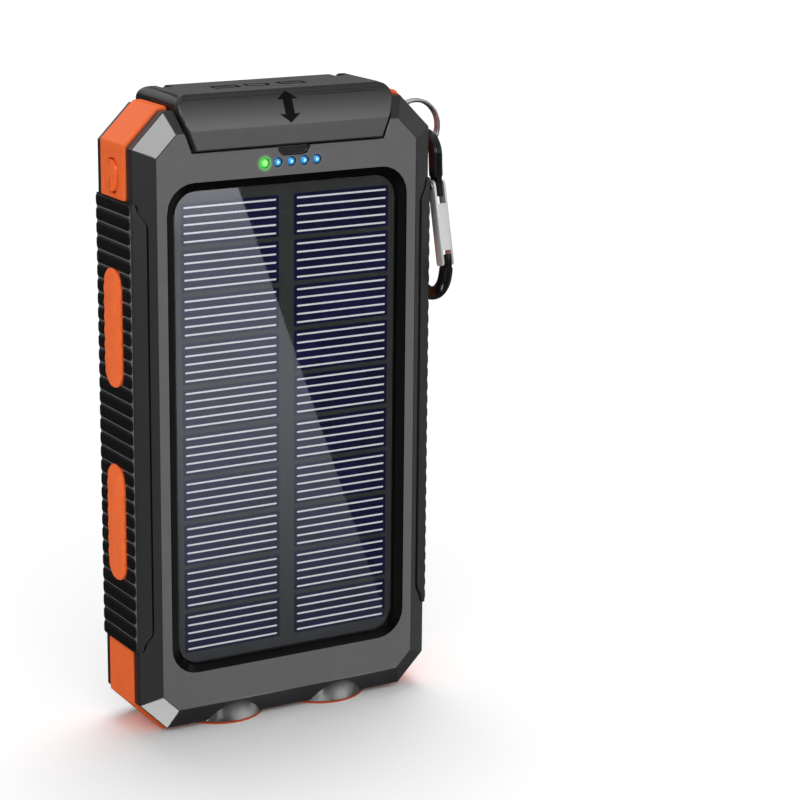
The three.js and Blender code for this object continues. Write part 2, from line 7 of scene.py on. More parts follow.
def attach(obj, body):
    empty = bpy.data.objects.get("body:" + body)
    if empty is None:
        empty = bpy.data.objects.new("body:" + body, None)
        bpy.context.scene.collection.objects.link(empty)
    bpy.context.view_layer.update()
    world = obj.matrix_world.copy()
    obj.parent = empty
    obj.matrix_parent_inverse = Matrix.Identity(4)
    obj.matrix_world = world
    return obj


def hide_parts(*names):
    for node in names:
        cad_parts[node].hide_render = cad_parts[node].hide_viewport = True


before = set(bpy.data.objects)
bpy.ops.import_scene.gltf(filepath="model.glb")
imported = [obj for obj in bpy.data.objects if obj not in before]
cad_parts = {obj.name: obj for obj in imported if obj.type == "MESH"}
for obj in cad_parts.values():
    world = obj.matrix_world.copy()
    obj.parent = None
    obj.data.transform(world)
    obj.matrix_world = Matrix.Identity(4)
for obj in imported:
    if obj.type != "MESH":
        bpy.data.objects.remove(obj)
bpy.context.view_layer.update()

MM = 0.001
scene = bpy.context.scene
rad = math.radians

# ------------------------------------------------------------------ camera
YAW, PITCH, ROLL = rad(30.75), rad(14.60), rad(0.585)
FOCAL_PX, OFF_X, OFF_Z, DIST = 2606.7, 29.98, 1.6, 588.2
fwd = Vector((math.sin(YAW) * math.cos(PITCH), math.cos(YAW) * math.cos(PITCH), -math.sin(PITCH)))
right = Vector((math.cos(YAW), -math.sin(YAW), 0.0))
up = right.cross(fwd)
eye = (Vector((0, 0, 70.0)) + right * OFF_X + up * OFF_Z - fwd * DIST) * MM
r2 = right * math.cos(ROLL) + up * math.sin(ROLL)
u2 = -right * math.sin(ROLL) + up * math.cos(ROLL)
cam_data = bpy.data.cameras.new("camera")
cam_data.sensor_width = 36.0
cam_data.lens = FOCAL_PX / 800.0 * 36.0
cam_data.clip_start = 0.02
cam_data.clip_end = 20.0
cam_data.dof.use_dof = False
cam = bpy.data.objects.new("camera", cam_data)
scene.collection.objects.link(cam)
m = Matrix((r2, u2, -fwd)).transposed().to_4x4()
m.translation = eye
cam.matrix_world = m
scene.camera = cam


# ------------------------------------------------------------------ materials
class Mat:
    """A node material with small helpers. Object coordinates are in metres."""

    def __init__(self, name, color=(0.5, 0.5, 0.5), rough=0.5, metal=0.0, **sockets):
        self.m = bpy.data.materials.new(name)
        self.m.use_nodes = True
        self.nt = self.m.node_tree
        self.b = self.nt.nodes["Principled BSDF"]
        self.set("Base Color", (*color, 1.0))
        self.set("Roughness", rough)
        self.set("Metallic", metal)
        for k, v in sockets.items():
            self.set(k.replace("_", " "), v)
        self.m.diffuse_color = (*color, 1.0)
        self.coord = self.nt.nodes.new("ShaderNodeTexCoord").outputs["Object"]

    def set(self, socket, value):
        self.b.inputs[socket].default_value = value

    def link(self, a, b):
        self.nt.links.new(a, b)

    def node(self, kind, **props):
        n = self.nt.nodes.new(kind)
        for k, v in props.items():
            setattr(n, k, v)
        return n

    def noise(self, scale, detail=3.0, rough=0.5, stretch=None):
        src = self.coord
        if stretch:
            mp = self.node("ShaderNodeMapping")
            mp.inputs["Scale"].default_value = stretch
            self.link(src, mp.inputs["Vector"])
            src = mp.outputs["Vector"]
        n = self.node("ShaderNodeTexNoise")
        n.inputs["Scale"].default_value = scale
        n.inputs["Detail"].default_value = detail
        n.inputs["Roughness"].default_value = rough
        self.link(src, n.inputs["Vector"])
        return n.outputs["Fac"]

    def ramp(self, fac, stops):
        r = self.node("ShaderNodeValToRGB")
        els = r.color_ramp.elements
        while len(els) > 1:
            els.remove(els[-1])
        els[0].position, els[0].color = stops[0][0], (*stops[0][1], 1.0)
        for p, c in stops[1:]:
            e = els.new(p)
            e.color = (*c, 1.0)
        self.link(fac, r.inputs["Fac"])
        return r.outputs["Color"]

    def spread(self, fac, lo, hi, a=0.3, b=0.7):
        r = self.node("ShaderNodeMapRange")
        r.inputs["From Min"].default_value = a
        r.inputs["From Max"].default_value = b
        r.inputs["To Min"].default_value = lo
        r.inputs["To Max"].default_value = hi
        self.link(fac, r.inputs["Value"])
        return r.outputs["Result"]

    def tint(self, base, scale, amount, **k):
        """Base colour that wanders a little, as moulded and coated surfaces do."""
        lo = tuple(max(0.0, c * (1 - amount)) for c in base)
        hi = tuple(min(1.0, c * (1 + amount)) for c in base)
        self.link(self.ramp(self.noise(scale, **k), [(0.3, lo), (0.7, hi)]), self.b.inputs["Base Color"])
        return self

    def gloss(self, scale, lo, hi, **k):
        self.link(self.spread(self.noise(scale, **k), lo, hi), self.b.inputs["Roughness"])
        return self

    def bump(self, height, strength, distance):
        bn = self.node("ShaderNodeBump")
        bn.inputs["Strength"].default_value = strength
        bn.inputs["Distance"].default_value = distance
        self.link(height, bn.inputs["Height"])
        self.link(bn.outputs["Normal"], self.b.inputs["Normal"])
        return self

    def axis(self, name):
        s = self.node("ShaderNodeSeparateXYZ")
        self.link(self.coord, s.inputs["Vector"])
        return s.outputs[name]

    def math(self, op, a, b=None):
        n = self.node("ShaderNodeMath", operation=op)
        self.link(a, n.inputs[0])
        if b is not None:
            if isinstance(b, (int, float)):
                n.inputs[1].default_value = b
            else:
                self.link(b, n.inputs[1])
        return n.outputs[0]


def moulded(name, color, rough, grain=5200.0, strength=0.22, amount=0.08, coat=0.0, spec=0.5, wander=0.04):
    """Injection moulded plastic with a fine spark-eroded grain."""
    k = Mat(name, color, rough)
    k.set("Specular IOR Level", spec)
    k.tint(color, 260.0, amount, detail=4.0)
    k.gloss(900.0, max(0.05, rough - wander), rough + wander, detail=2.0)
    k.bump(k.noise(grain, detail=2.0), strength, 0.00003)
    if coat:
        k.set("Coat Weight", coat)
        k.set("Coat Roughness", 0.12)
    return k


# painted light: the flat front face gets a lighter grey and the bevels a darker one, lit and shaded copies of the same
# plastic
FACE_GREY_LIT = (0.122, 0.120, 0.122)
BEVEL_DARK_SHADED = (0.0185, 0.019, 0.0205)
ORANGE = (0.86, 0.135, 0.018)

shell_face_lit = moulded("shell_face_lit", FACE_GREY_LIT, 0.5, amount=0.03, strength=0.1, spec=0.12)
shell_bevel_shaded = moulded("shell_bevel_shaded", BEVEL_DARK_SHADED, 0.30, amount=0.06, strength=0.02, spec=0.38, wander=0.008)
barrel_gloss = moulded("barrel_gloss", (0.010, 0.010, 0.011), 0.38, amount=0.06, strength=0.02, spec=0.9, wander=0.008)
shell_rear = moulded("shell_rear", (0.055, 0.055, 0.06), 0.5, strength=0.35, spec=0.3)
# near-black gloss for the window recess walls and the socket marks; it also paints the shadow line round the grip
# flanges
recess_black = moulded("recess_black", (0.002, 0.002, 0.002), 0.2, strength=0.02, spec=0.1, wander=0.02)
cover_grey = moulded("cover_grey", (0.085, 0.083, 0.085), 0.46, amount=0.03, strength=0.1, spec=0.2)
cover_end = moulded("cover_end", (0.016, 0.016, 0.017), 0.34, amount=0.06, strength=0.04, spec=0.5)
black_soft = moulded("black_plastic", (0.006, 0.006, 0.0065), 0.35, strength=0.08, spec=0.2)
arrow_black = moulded("arrow_black", (0.002, 0.002, 0.0022), 0.5, strength=0.08, spec=0.06)
# painted shade: a darker orange for the frame round the lamp collars
orange_rim_painted_shade = moulded("orange_rim_painted_shade", (0.42, 0.060, 0.010), 0.5, amount=0.03, strength=0.06, spec=0.15)
orange_mat = moulded("orange_plastic", ORANGE, 0.42, amount=0.03, strength=0.06, spec=0.25)
inlay_orange = moulded("inlay_orange", (0.92, 0.150, 0.024), 0.45, grain=2600.0, strength=0.2, amount=0.06, spec=0.25)
rubber = moulded("grip_rubber", (0.006, 0.006, 0.0065), 0.5, grain=3800.0, strength=0.15, spec=0.2)
rubber_base = moulded("grip_flange", (0.021, 0.022, 0.023), 0.5, grain=4200.0, strength=0.1, amount=0.05, spec=0.35)
# painted highlight: a light grey for the grip's side between the rib pads
rubber_gap_painted_highlight = moulded("grip_gap_painted_highlight", (0.16, 0.16, 0.165), 0.42, grain=4200.0, strength=0.1, amount=0.05, spec=0.4)

# painted shade: the sloped front of the cover is coloured darker toward its top edge
cover_slope_painted_shade = moulded("cover_slope_painted_shade", (0.1, 0.1, 0.1), 0.46, amount=0.03, strength=0.06, spec=0.2)
_z = cover_slope_painted_shade.axis("Z")
_f = cover_slope_painted_shade.node("ShaderNodeMapRange")
_f.inputs["From Min"].default_value = 0.1354
_f.inputs["From Max"].default_value = 0.1428
cover_slope_painted_shade.link(_z, _f.inputs["Value"])
_w = cover_slope_painted_shade.math("ADD", _f.outputs["Result"], cover_slope_painted_shade.math("MULTIPLY", cover_slope_painted_shade.noise(300.0, detail=3.0), 0.03))
cover_slope_painted_shade.link(cover_slope_painted_shade.ramp(_w, [(0.0, (0.116, 0.116, 0.116)), (0.45, (0.068, 0.068, 0.068)), (0.93, (0.022, 0.022, 0.022)), (1.0, (0.010, 0.010, 0.010))]), cover_slope_painted_shade.b.inputs["Base Color"])


def painted_spill_glow(k, x, z, color, inner, outer, level):
    """Painted glow: emission on the plastic round an indicator, standing in for the light that spills from it."""
    nt = k.nt
    v = k.node("ShaderNodeVectorMath", operation="DISTANCE")
    fl_ = k.node("ShaderNodeVectorMath", operation="MULTIPLY")
    fl_.inputs[1].default_value = (1.0, 0.0, 1.0)
    k.link(k.coord, fl_.inputs[0])
    k.link(fl_.outputs[0], v.inputs[0])
    v.inputs[1].default_value = (x * MM, 0.0, z * MM)
    r = k.node("ShaderNodeMapRange")
    r.interpolation_type = "SMOOTHSTEP"
    r.inputs["From Min"].default_value = inner * MM
    r.inputs["From Max"].default_value = outer * MM
    r.inputs["To Min"].default_value = level
    r.inputs["To Max"].default_value = 0.0
    k.link(v.outputs["Value"], r.inputs["Value"])
    return r.outputs["Result"]


# painted glow: the shell face itself gives off green and blue light round the indicators
_g = painted_spill_glow(shell_face_lit, -6.1, 127.3, None, 0.8, 2.1, 0.55)
_spill_glow_color = shell_face_lit.node("ShaderNodeCombineColor")
shell_face_lit.link(shell_face_lit.math("MULTIPLY", _g, 0.10), _spill_glow_color.inputs["Red"])
_sumb = None
for _x in (-2.9, 0.4, 3.6, 6.7):
    _b = painted_spill_glow(shell_face_lit, _x, 127.3, None, 0.7, 1.5, 0.22)
    _sumb = _b if _sumb is None else shell_face_lit.math("ADD", _sumb, _b)
shell_face_lit.link(shell_face_lit.math("ADD", _g, shell_face_lit.math("MULTIPLY", _sumb, 0.35)), _spill_glow_color.inputs["Green"])
shell_face_lit.link(shell_face_lit.math("ADD", shell_face_lit.math("MULTIPLY", _g, 0.08), _sumb), _spill_glow_color.inputs["Blue"])
shell_face_lit.link(_spill_glow_color.outputs["Color"], shell_face_lit.b.inputs["Emission Color"])
shell_face_lit.set("Emission Strength", 1.0)

# solar laminate
board_mat = Mat("cell_substrate", (0.030, 0.031, 0.026), 0.35)
board_mat.tint((0.037, 0.037, 0.036), 120.0, 0.06)
board_mat.set("Specular IOR Level", 0.1)
cell_mat = Mat("cell_silicon", (0.02, 0.02, 0.09), 0.3)
_v = cell_mat.node("ShaderNodeTexVoronoi")
_v.inputs["Scale"].default_value = 420.0
cell_mat.link(cell_mat.coord, _v.inputs["Vector"])
_sep = cell_mat.node("ShaderNodeSeparateColor")
cell_mat.link(_v.outputs["Color"], _sep.inputs["Color"])
_mix = cell_mat.math("MULTIPLY_ADD", _sep.outputs["Red"], 0.35)
_mix.node.inputs[2].default_value = 0.0
_sum = cell_mat.math("ADD", _mix, cell_mat.noise(60.0, detail=3.0))
cell_mat.link(cell_mat.ramp(_sum, [(0.35, (0.0032, 0.0032, 0.021)), (0.6, (0.0048, 0.0048, 0.034)), (0.95, (0.0075, 0.0072, 0.052))]), cell_mat.b.inputs["Base Color"])
cell_mat.gloss(300.0, 0.3, 0.42)
cell_mat.set("Specular IOR Level", 0.06)
finger_mat = Mat("cell_silver", (0.80, 0.80, 0.83), 0.4, 0.05)
finger_mat.tint((0.80, 0.80, 0.84), 900.0, 0.04)


def clear(name, tintc=(1, 1, 1), rough=0.03, ior=1.5):
    """Clear sheet: straight-through transparency under a Fresnel gloss."""
    k = Mat(name, tintc, rough)
    nt = k.nt
    nt.nodes.remove(k.b)
    out = nt.nodes["Material Output"]
    tr = nt.nodes.new("ShaderNodeBsdfTransparent")
    tr.inputs["Color"].default_value = (*tintc, 1)
    gl = nt.nodes.new("ShaderNodeBsdfGlossy")
    gl.inputs["Roughness"].default_value = rough
    fr = nt.nodes.new("ShaderNodeFresnel")
    fr.inputs["IOR"].default_value = ior
    nz = nt.nodes.new("ShaderNodeTexNoise")
    nz.inputs["Scale"].default_value = 90.0
    bp = nt.nodes.new("ShaderNodeBump")
    bp.inputs["Strength"].default_value = 0.003
    bp.inputs["Distance"].default_value = 0.00001
    nt.links.new(k.coord, nz.inputs["Vector"])
    nt.links.new(nz.outputs["Fac"], bp.inputs["Height"])
    nt.links.new(bp.outputs["Normal"], gl.inputs["Normal"])
    mx = nt.nodes.new("ShaderNodeMixShader")
    # only the outer side mirrors, so the sheet stays clear at low angles too
    geo = nt.nodes.new("ShaderNodeNewGeometry")
    front_only = nt.nodes.new("ShaderNodeMath")
    front_only.operation = "SUBTRACT"
    front_only.inputs[0].default_value = 1.0
    nt.links.new(geo.outputs["Backfacing"], front_only.inputs[1])
    part_ = nt.nodes.new("ShaderNodeMath")
    part_.operation = "MULTIPLY"
    nt.links.new(fr.outputs["Fac"], part_.inputs[0])
    nt.links.new(front_only.outputs[0], part_.inputs[1])
    nt.links.new(part_.outputs[0], mx.inputs["Fac"])
    nt.links.new(tr.outputs["BSDF"], mx.inputs[1])
    nt.links.new(gl.outputs["BSDF"], mx.inputs[2])
    nt.links.new(mx.outputs["Shader"], out.inputs["Surface"])
    return k


glazing_mat = clear("panel_glazing", (0.97, 0.98, 0.98), 0.014, ior=1.8)
lens_mat = clear("lens_clear", (0.96, 0.98, 1.0), 0.04)
dome_mat = clear("compass_dome_clear", (0.98, 1.0, 1.0), 0.02)

# metals
steel = Mat("nickel_plated", (0.62, 0.62, 0.63), 0.26, 1.0)
steel.gloss(300.0, 0.23, 0.29)
steel.tint((0.60, 0.60, 0.61), 200.0, 0.05)
gate_mat = Mat("gate_aluminium", (0.62, 0.62, 0.63), 0.38, 0.35)
gate_mat.tint((0.62, 0.625, 0.63), 300.0, 0.05, stretch=(1.0, 1.0, 0.1))
gate_mat.gloss(300.0, 0.36, 0.40)
mirror_mat = Mat("reflector_mirror", (0.93, 0.93, 0.92), 0.06, 1.0)
mirror_mat.gloss(700.0, 0.04, 0.1)
enamel = Mat("black_enamel", (0.006, 0.006, 0.007), 0.2)
enamel.set("Specular IOR Level", 0.3)
enamel.tint((0.006, 0.006, 0.0065), 400.0, 0.1)
enamel.bump(enamel.noise(500.0, detail=2.0), 0.03, 0.00003)
enamel.gloss(300.0, 0.18, 0.22)
gold = Mat("gold_contacts", (0.8, 0.55, 0.2), 0.25, 1.0)
gold.gloss(900.0, 0.2, 0.32)

# inside
pcb = moulded("solder_mask", (0.015, 0.10, 0.04), 0.32, grain=2200.0)
foil = Mat("cell_foil", (0.62, 0.63, 0.65), 0.34, 0.95)
foil.gloss(200.0, 0.25, 0.42)
foil.bump(foil.noise(160.0, detail=5.0), 0.3, 0.0003)
foam = moulded("foam", (0.05, 0.05, 0.05), 0.95, grain=1500.0, strength=0.9)
glue = moulded("adhesive", (0.66, 0.6, 0.48), 0.6)
chip = moulded("chip_epoxy", (0.014, 0.014, 0.014), 0.42)
phosphor = moulded("phosphor", (0.92, 0.78, 0.25), 0.5)
phosphor.set("Subsurface Weight", 0.1)
red_wire = moulded("wire_red", (0.5, 0.02, 0.015), 0.4)
black_wire = moulded("wire_black", (0.015, 0.015, 0.015), 0.4)


def light_mat(name, color, strength):
    k = Mat(name, color, 0.15)
    k.set("Emission Color", (*color, 1.0))
    k.set("Emission Strength", strength)
    k.tint(color, 2500.0, 0.12)
    return k


green_light = light_mat("light_green", (0.03, 0.50, 0.03), 1.3)
blue_light = light_mat("light_blue", (0.02, 0.19, 0.42), 0.8)
green_core = light_mat("light_green_core", (0.30, 0.85, 0.20), 0.9)
blue_core = light_mat("light_blue_core", (0.30, 0.66, 0.84), 0.95)
dial_white = Mat("dial_white", (0.85, 0.85, 0.83), 0.5)
dial_white.tint((0.85, 0.85, 0.83), 1500.0, 0.06)
dial_green = Mat("dial_green", (0.05, 0.6, 0.22), 0.45)
dial_green.tint((0.05, 0.6, 0.22), 1500.0, 0.1)
dial_black = moulded("dial_black", (0.008, 0.009, 0.009), 0.35)


# ------------------------------------------------------------------ mesh helpers
def piece(name, bm, mats, body, replaces=(), angle=32.0, mm=True, weighted=False):
    if mm:
        bmesh.ops.scale(bm, vec=(MM, MM, MM), verts=bm.verts)
    bmesh.ops.recalc_face_normals(bm, faces=bm.faces)
    me = bpy.data.meshes.new(name)
    bm.to_mesh(me)
    bm.free()
    for k in (mats if isinstance(mats, (list, tuple)) else [mats]):
        me.materials.append(k.m)
    me.shade_smooth()
    me.set_sharp_from_angle(angle=rad(angle))
    o = bpy.data.objects.new(name, me)
    scene.collection.objects.link(o)
    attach(o, body)
    if replaces:
        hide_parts(*replaces)
    if weighted:
        w = o.modifiers.new("normals", "WEIGHTED_NORMAL")
        w.mode = "FACE_AREA"
        w.weight = 50
        w.keep_sharp = True
    return o


def boolean(target, cutters, operation, solver="EXACT"):
    """Joins or cuts a piece with loose helper meshes, in metres, and keeps the result as its mesh."""
    for cb in cutters:
        bmesh.ops.recalc_face_normals(cb, faces=cb.faces)
        me = bpy.data.meshes.new("cutter")
        cb.to_mesh(me)
        cb.free()
        co = bpy.data.objects.new("cutter", me)
        scene.collection.objects.link(co)
        md = target.modifiers.new("cut", "BOOLEAN")
        md.operation, md.solver, md.object = operation, solver, co
        dg = bpy.context.evaluated_depsgraph_get()
        nm = bpy.data.meshes.new_from_object(target.evaluated_get(dg))
        target.modifiers.remove(md)
        target.data = nm
        bpy.data.objects.remove(co)


def prism(pts, a0, a1, place):
    """Closed prism of an outline; place(u, v, a) gives the point at height a."""
    b = bmesh.new()
    loft(b, [[place(u, v, a) for u, v in pts] for a in (a0, a1)])
    bmesh.ops.scale(b, vec=(MM, MM, MM), verts=b.verts)
    return b


def loft(bm, loops, cap0=True, cap1=True, closed=True, mat=0):
    """Skins equal-length vertex loops into quads."""
    rings = [[bm.verts.new(p) for p in lp] for lp in loops]
    n = len(rings[0])
    for a, b in zip(rings, rings[1:]):
        for i in range(n if closed else n - 1):
            j = (i + 1) % n
            f = bm.faces.new((a[i], a[j], b[j], b[i]))
            f.material_index = mat
    if cap0:
        f = bm.faces.new(list(reversed(rings[0])))
        f.material_index = mat
    if cap1:
        f = bm.faces.new(rings[-1])
        f.material_index = mat
    return rings


def inset(pts, d):
    """Moves a closed 2D outline inward by d (counter-clockwise outline)."""
    n = len(pts)
    out = []
    for i in range(n):
        ax, ay = pts[i - 1]
        bx, by = pts[i]
        cx, cy = pts[(i + 1) % n]
        e1 = Vector((bx - ax, by - ay))
        e2 = Vector((cx - bx, cy - by))
        if e1.length < 1e-9:
            e1 = e2
        if e2.length < 1e-9:
            e2 = e1
        e1.normalize()
        e2.normalize()
        n1 = Vector((-e1.y, e1.x))
        n2 = Vector((-e2.y, e2.x))
        nn = n1 + n2
        if nn.length < 1e-6:
            nn = n1
        nn.normalize()
        k = d / max(0.5, nn.dot(n1))
        out.append((bx + nn.x * k, by + nn.y * k))
    return out


def rrect(u0, u1, v0, v1, r, n=8):
    o = []
    for cu, cv, a0 in ((u1 - r, v0 + r, -90), (u1 - r, v1 - r, 0), (u0 + r, v1 - r, 90), (u0 + r, v0 + r, 180)):
        for i in range(n + 1):
            a = rad(a0 + 90 * i / n)
            o.append((cu + r * math.cos(a), cv + r * math.sin(a)))
    return o


def pad(bm, outline, to3d, h0, h1, round_=0.25, steps=3, mat=0, bottom=True, crown=0.0):
    """A raised pad with a rounded upper edge. to3d(u, v, h) places a point."""
    loops = [[to3d(u, v, h0) for u, v in outline], [to3d(u, v, h1 - round_) for u, v in outline]]
    for i in range(1, steps + 1):
        a = math.pi / 2 * i / steps
        ins = inset(outline, round_ * (1 - math.cos(a)))
        loops.append([to3d(u, v, h1 - round_ + round_ * math.sin(a)) for u, v in ins])
    return loft(bm, loops, cap0=bottom, cap1=True, mat=mat)


def lathe(bm, profile, n, place, mat=0):
    """profile of (r, h); place(x, y, h) puts the turned point. r == 0 closes on the axis."""
    rings = []
    for r, h in profile:
        if r < 1e-6:
            rings.append([bm.verts.new(place(0, 0, h))])
        else:
            rings.append([bm.verts.new(place(r * math.cos(2 * math.pi * i / n), r * math.sin(2 * math.pi * i / n), h)) for i in range(n)])
    for a, b in zip(rings, rings[1:]):
        for i in range(n):
            j = (i + 1) % n
            if len(a) == 1 and len(b) == 1:
                continue
            if len(a) == 1:
                f = bm.faces.new((a[0], b[j], b[i]))
            elif len(b) == 1:
                f = bm.faces.new((a[i], a[j], b[0]))
            else:
                f = bm.faces.new((a[i], a[j], b[j], b[i]))
            f.material_index = mat
    return rings


def sweep(bm, path, radius, sides=20, closed=False, squash=None, mat=0, caps=True):
    """Round bar along a list of points with parallel-transported frames."""
    pts = [Vector(p) for p in path]
    n = len(pts)
    tang = []
    for i in range(n):
        if closed:
            t = pts[(i + 1) % n] - pts[i - 1]
        else:
            t = pts[min(i + 1, n - 1)] - pts[max(i - 1, 0)]
        tang.append(t.normalized())
    ref = Vector((1, 0, 0))
    if abs(tang[0].dot(ref)) > 0.9:
        ref = Vector((0, 1, 0))
    u = (ref - tang[0] * ref.dot(tang[0])).normalized()
    loops = []
    for i in range(n):
        u = (u - tang[i] * u.dot(tang[i])).normalized()
        v = tang[i].cross(u)
        r = radius(i / (n - 1)) if callable(radius) else radius
        lp = []
        for k in range(sides):
            a = 2 * math.pi * k / sides
            p = pts[i] + u * (r * math.cos(a)) + v * (r * math.sin(a))
            if squash:
                p = squash(p, i / (n - 1), pts[i])
            lp.append(p)
        loops.append(lp)
    if closed:
        rings = [[bm.verts.new(p) for p in lp] for lp in loops]
        for a, b in zip(rings, rings[1:] + rings[:1]):
            for i in range(sides):
                j = (i + 1) % sides
                bm.faces.new((a[i], a[j], b[j], b[i])).material_index = mat
    else:
        loft(bm, loops, cap0=caps, cap1=caps, mat=mat)


def catmull(points, per=10):
    """Centripetal Catmull-Rom line through the points."""
    P = [Vector(p) for p in points]
    P = [P[0] * 2 - P[1]] + P + [P[-1] * 2 - P[-2]]
    out = []
    for i in range(1, len(P) - 2):
        p0, p1, p2, p3 = P[i - 1:i + 3]
        t0 = 0.0
        t1 = t0 + max(1e-6, (p1 - p0).length) ** 0.5
        t2 = t1 + max(1e-6, (p2 - p1).length) ** 0.5
        t3 = t2 + max(1e-6, (p3 - p2).length) ** 0.5
        for k in range(per):
            t = t1 + (t2 - t1) * k / per
            a1 = p0 * ((t1 - t) / (t1 - t0)) + p1 * ((t - t0) / (t1 - t0))
            a2 = p1 * ((t2 - t) / (t2 - t1)) + p2 * ((t - t1) / (t2 - t1))
            a3 = p2 * ((t3 - t) / (t3 - t2)) + p3 * ((t - t2) / (t3 - t2))
            b1 = a1 * ((t2 - t) / (t2 - t0)) + a2 * ((t - t0) / (t2 - t0))
            b2 = a2 * ((t3 - t) / (t3 - t1)) + a3 * ((t - t1) / (t3 - t1))
            out.append(b1 * ((t2 - t) / (t2 - t1)) + b2 * ((t - t1) / (t2 - t1)))
    out.append(P[-2])
    return out


def cad_bm(node):
    bm = bmesh.new()
    bm.from_mesh(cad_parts[node].data)
    bmesh.ops.remove_doubles(bm, verts=bm.verts, dist=3e-6)
    bmesh.ops.dissolve_degenerate(bm, dist=1e-6, edges=bm.edges)
    bmesh.ops.dissolve_limit(bm, angle_limit=rad(0.6), use_dissolve_boundaries=False, verts=bm.verts, edges=bm.edges)
    return bm


def soften(bm, width, segments=2, angle=24.0, keep=None, shortest=0.00035):
    edges = []
    for e in bm.edges:
        if not e.is_manifold or len(e.link_faces) != 2:
            continue
        if e.calc_face_angle(0.0) < rad(angle) or e.calc_length() < shortest:
            continue
        if keep and not keep(e):
            continue
        edges.append(e)
    bmesh.ops.bevel(bm, geom=edges, offset=width, offset_type="OFFSET", segments=segments, profile=0.5,
                    affect="EDGES", clamp_overlap=False, loop_slide=True)


# ------------------------------------------------------------------ shells
def middle(f):
    return f.calc_center_median() / MM


bm = cad_bm("front_shell")
on_barrel = lambda e: all(v.co.z < 0.006 and min(abs(math.hypot(v.co.x - sx, v.co.y) - 0.01075) for sx in (-0.0132, 0.0132)) < 0.00012 for v in e.verts)
soften(bm, 0.00022, 3, angle=17, keep=lambda e: all(v.co.y < -0.0061 for v in e.verts) and not on_barrel(e))
# painted light: the flat front face takes the lit grey (slot 0), the bevels and sides the shaded dark copy (slot 1)
for f in bm.faces:
    c = middle(f)
    nrm = f.normal
    k = 1
    if c.y < -10.97 and abs(nrm.y) > 0.9:
        k = 0
    if abs(c.x) < 29.55 and 13.95 < c.z < 124.35 and c.y > -10.985:
        k = 2
    if c.z < 5.5 and abs(nrm.z) < 0.5 and min(abs(math.hypot(c.x - sx, c.y) - 10.7) for sx in (-13.2, 13.2)) < 0.12:
        k = 3
    f.material_index = k
front = piece("front_shell_moulding", bm, [shell_face_lit, shell_bevel_shaded, recess_black, barrel_gloss], "housing", ["front_shell"], angle=17, mm=False, weighted=True)

bm = cad_bm("rear_shell")
soften(bm, 0.00016, 2, angle=17, keep=lambda e: all(v.co.y > 0.0061 for v in e.verts) and min(math.hypot(v.co.x - 0.0297, v.co.z - 0.1306) for v in e.verts) > 0.0026)
for f in bm.faces:
    f.material_index = 0 if middle(f).y > 9.9 else 1
rear = piece("rear_shell_moulding", bm, [shell_rear, shell_bevel_shaded], "housing", ["rear_shell"], angle=17, mm=False, weighted=True)

bm = cad_bm("mid_frame")
soften(bm, 0.00045, 3, angle=30, shortest=0.0008, keep=lambda e: max(abs(v.co.x) for v in e.verts) > 0.0349 and min(v.co.z for v in e.verts) > 0.001 or min(v.co.z for v in e.verts) > 0.1345)
# painted shade: the frame's faces round the lamp collars take the darker orange
for f in bm.faces:
    c = f.calc_center_median()
    if c.z < 0.006 and min(math.hypot(c.x - sx, c.y) for sx in (-0.0132, 0.0132)) < 0.0115:
        f.material_index = 1
mid = piece("mid_frame_moulding", bm, [orange_mat, orange_rim_painted_shade], "housing", ["mid_frame"], angle=20, mm=False, weighted=True)

# ------------------------------------------------------------------ solar panel
ROWS, CELL_H, GAP, TOP = 10, 9.2, 1.05, 119.8
COLS = [(-25.6, -1.9), (1.9, 25.7)]
cells = bmesh.new()
fingers = bmesh.new()
for x0, x1 in COLS:
    for r in range(ROWS):
        z1 = TOP - r * (CELL_H + GAP)
        z0 = z1 - CELL_H
        pad(cells, rrect(x0, x1, z0, z1, 0.25, 2), lambda u, v, h: (u, h, v), -9.24, -9.36, round_=-0.03, steps=1)
        for i in range(5):
            zc = z1 - 0.95 - i * 1.86
            pad(fingers, rrect(x0 + 0.7, x1 - 0.7, zc - 0.18, zc + 0.18, 0.17, 3), lambda u, v, h: (u, h, v), -9.35, -9.40, round_=-0.02, steps=1)
piece("solar_cells", cells, cell_mat, "housing")
piece("cell_fingers", fingers, finger_mat, "housing")
bm = bmesh.new()
pad(bm, rrect(-27.25, 27.25, 15.85, 122.25, 5.0, 12), lambda u, v, h: (u, h, v), -9.6, -10.0, round_=-0.12, steps=3)
piece("panel_glazing_sheet", bm, glazing_mat, "housing", ["solar_panel_glazing"])

# ------------------------------------------------------------------ side grips
PITCH_R = 3.15
LINES = [120.5 - 2.9 - PITCH_R * k for k in range(31)]
INLAYS = [(34.8, 61.5), (78.8, 105.4)]


def inlay_outline(z0, z1, grow=0.0, wave=0.3, n=110):
    """Long rounded lozenge whose edges swell and pinch with the ribs."""
    out = []
    zc, hl = (z0 + z1) / 2, (z1 - z0) / 2 + grow
    cap = 4.6 + grow
    for side in (1, -1):
        for i in range(n):
            t = i / n
            z = zc + side * (-hl + 2 * hl * t)
            d = hl - abs(z - zc)
            w = 4.15 + grow
            if d < cap:
                w *= math.sqrt(max(0.0, 1 - (1 - d / cap) ** 2)) ** 0.9
            ph = (z - (120.5 - 2.9)) / PITCH_R * 2 * math.pi
            w += wave * min(1.0, d / 3.0) * -math.cos(ph) * 0.6
            out.append((side * max(w, 0.02), z))
    return out


def side_x(y):
    """Outer x of the grip's base at depth y, over the side and round on to the bevels."""
    a = abs(y)
    if a <= 8.3:
        return 37.02
    t = (a - 8.3)
    return 37.02 - 0.10 * t - 0.28 * t * t


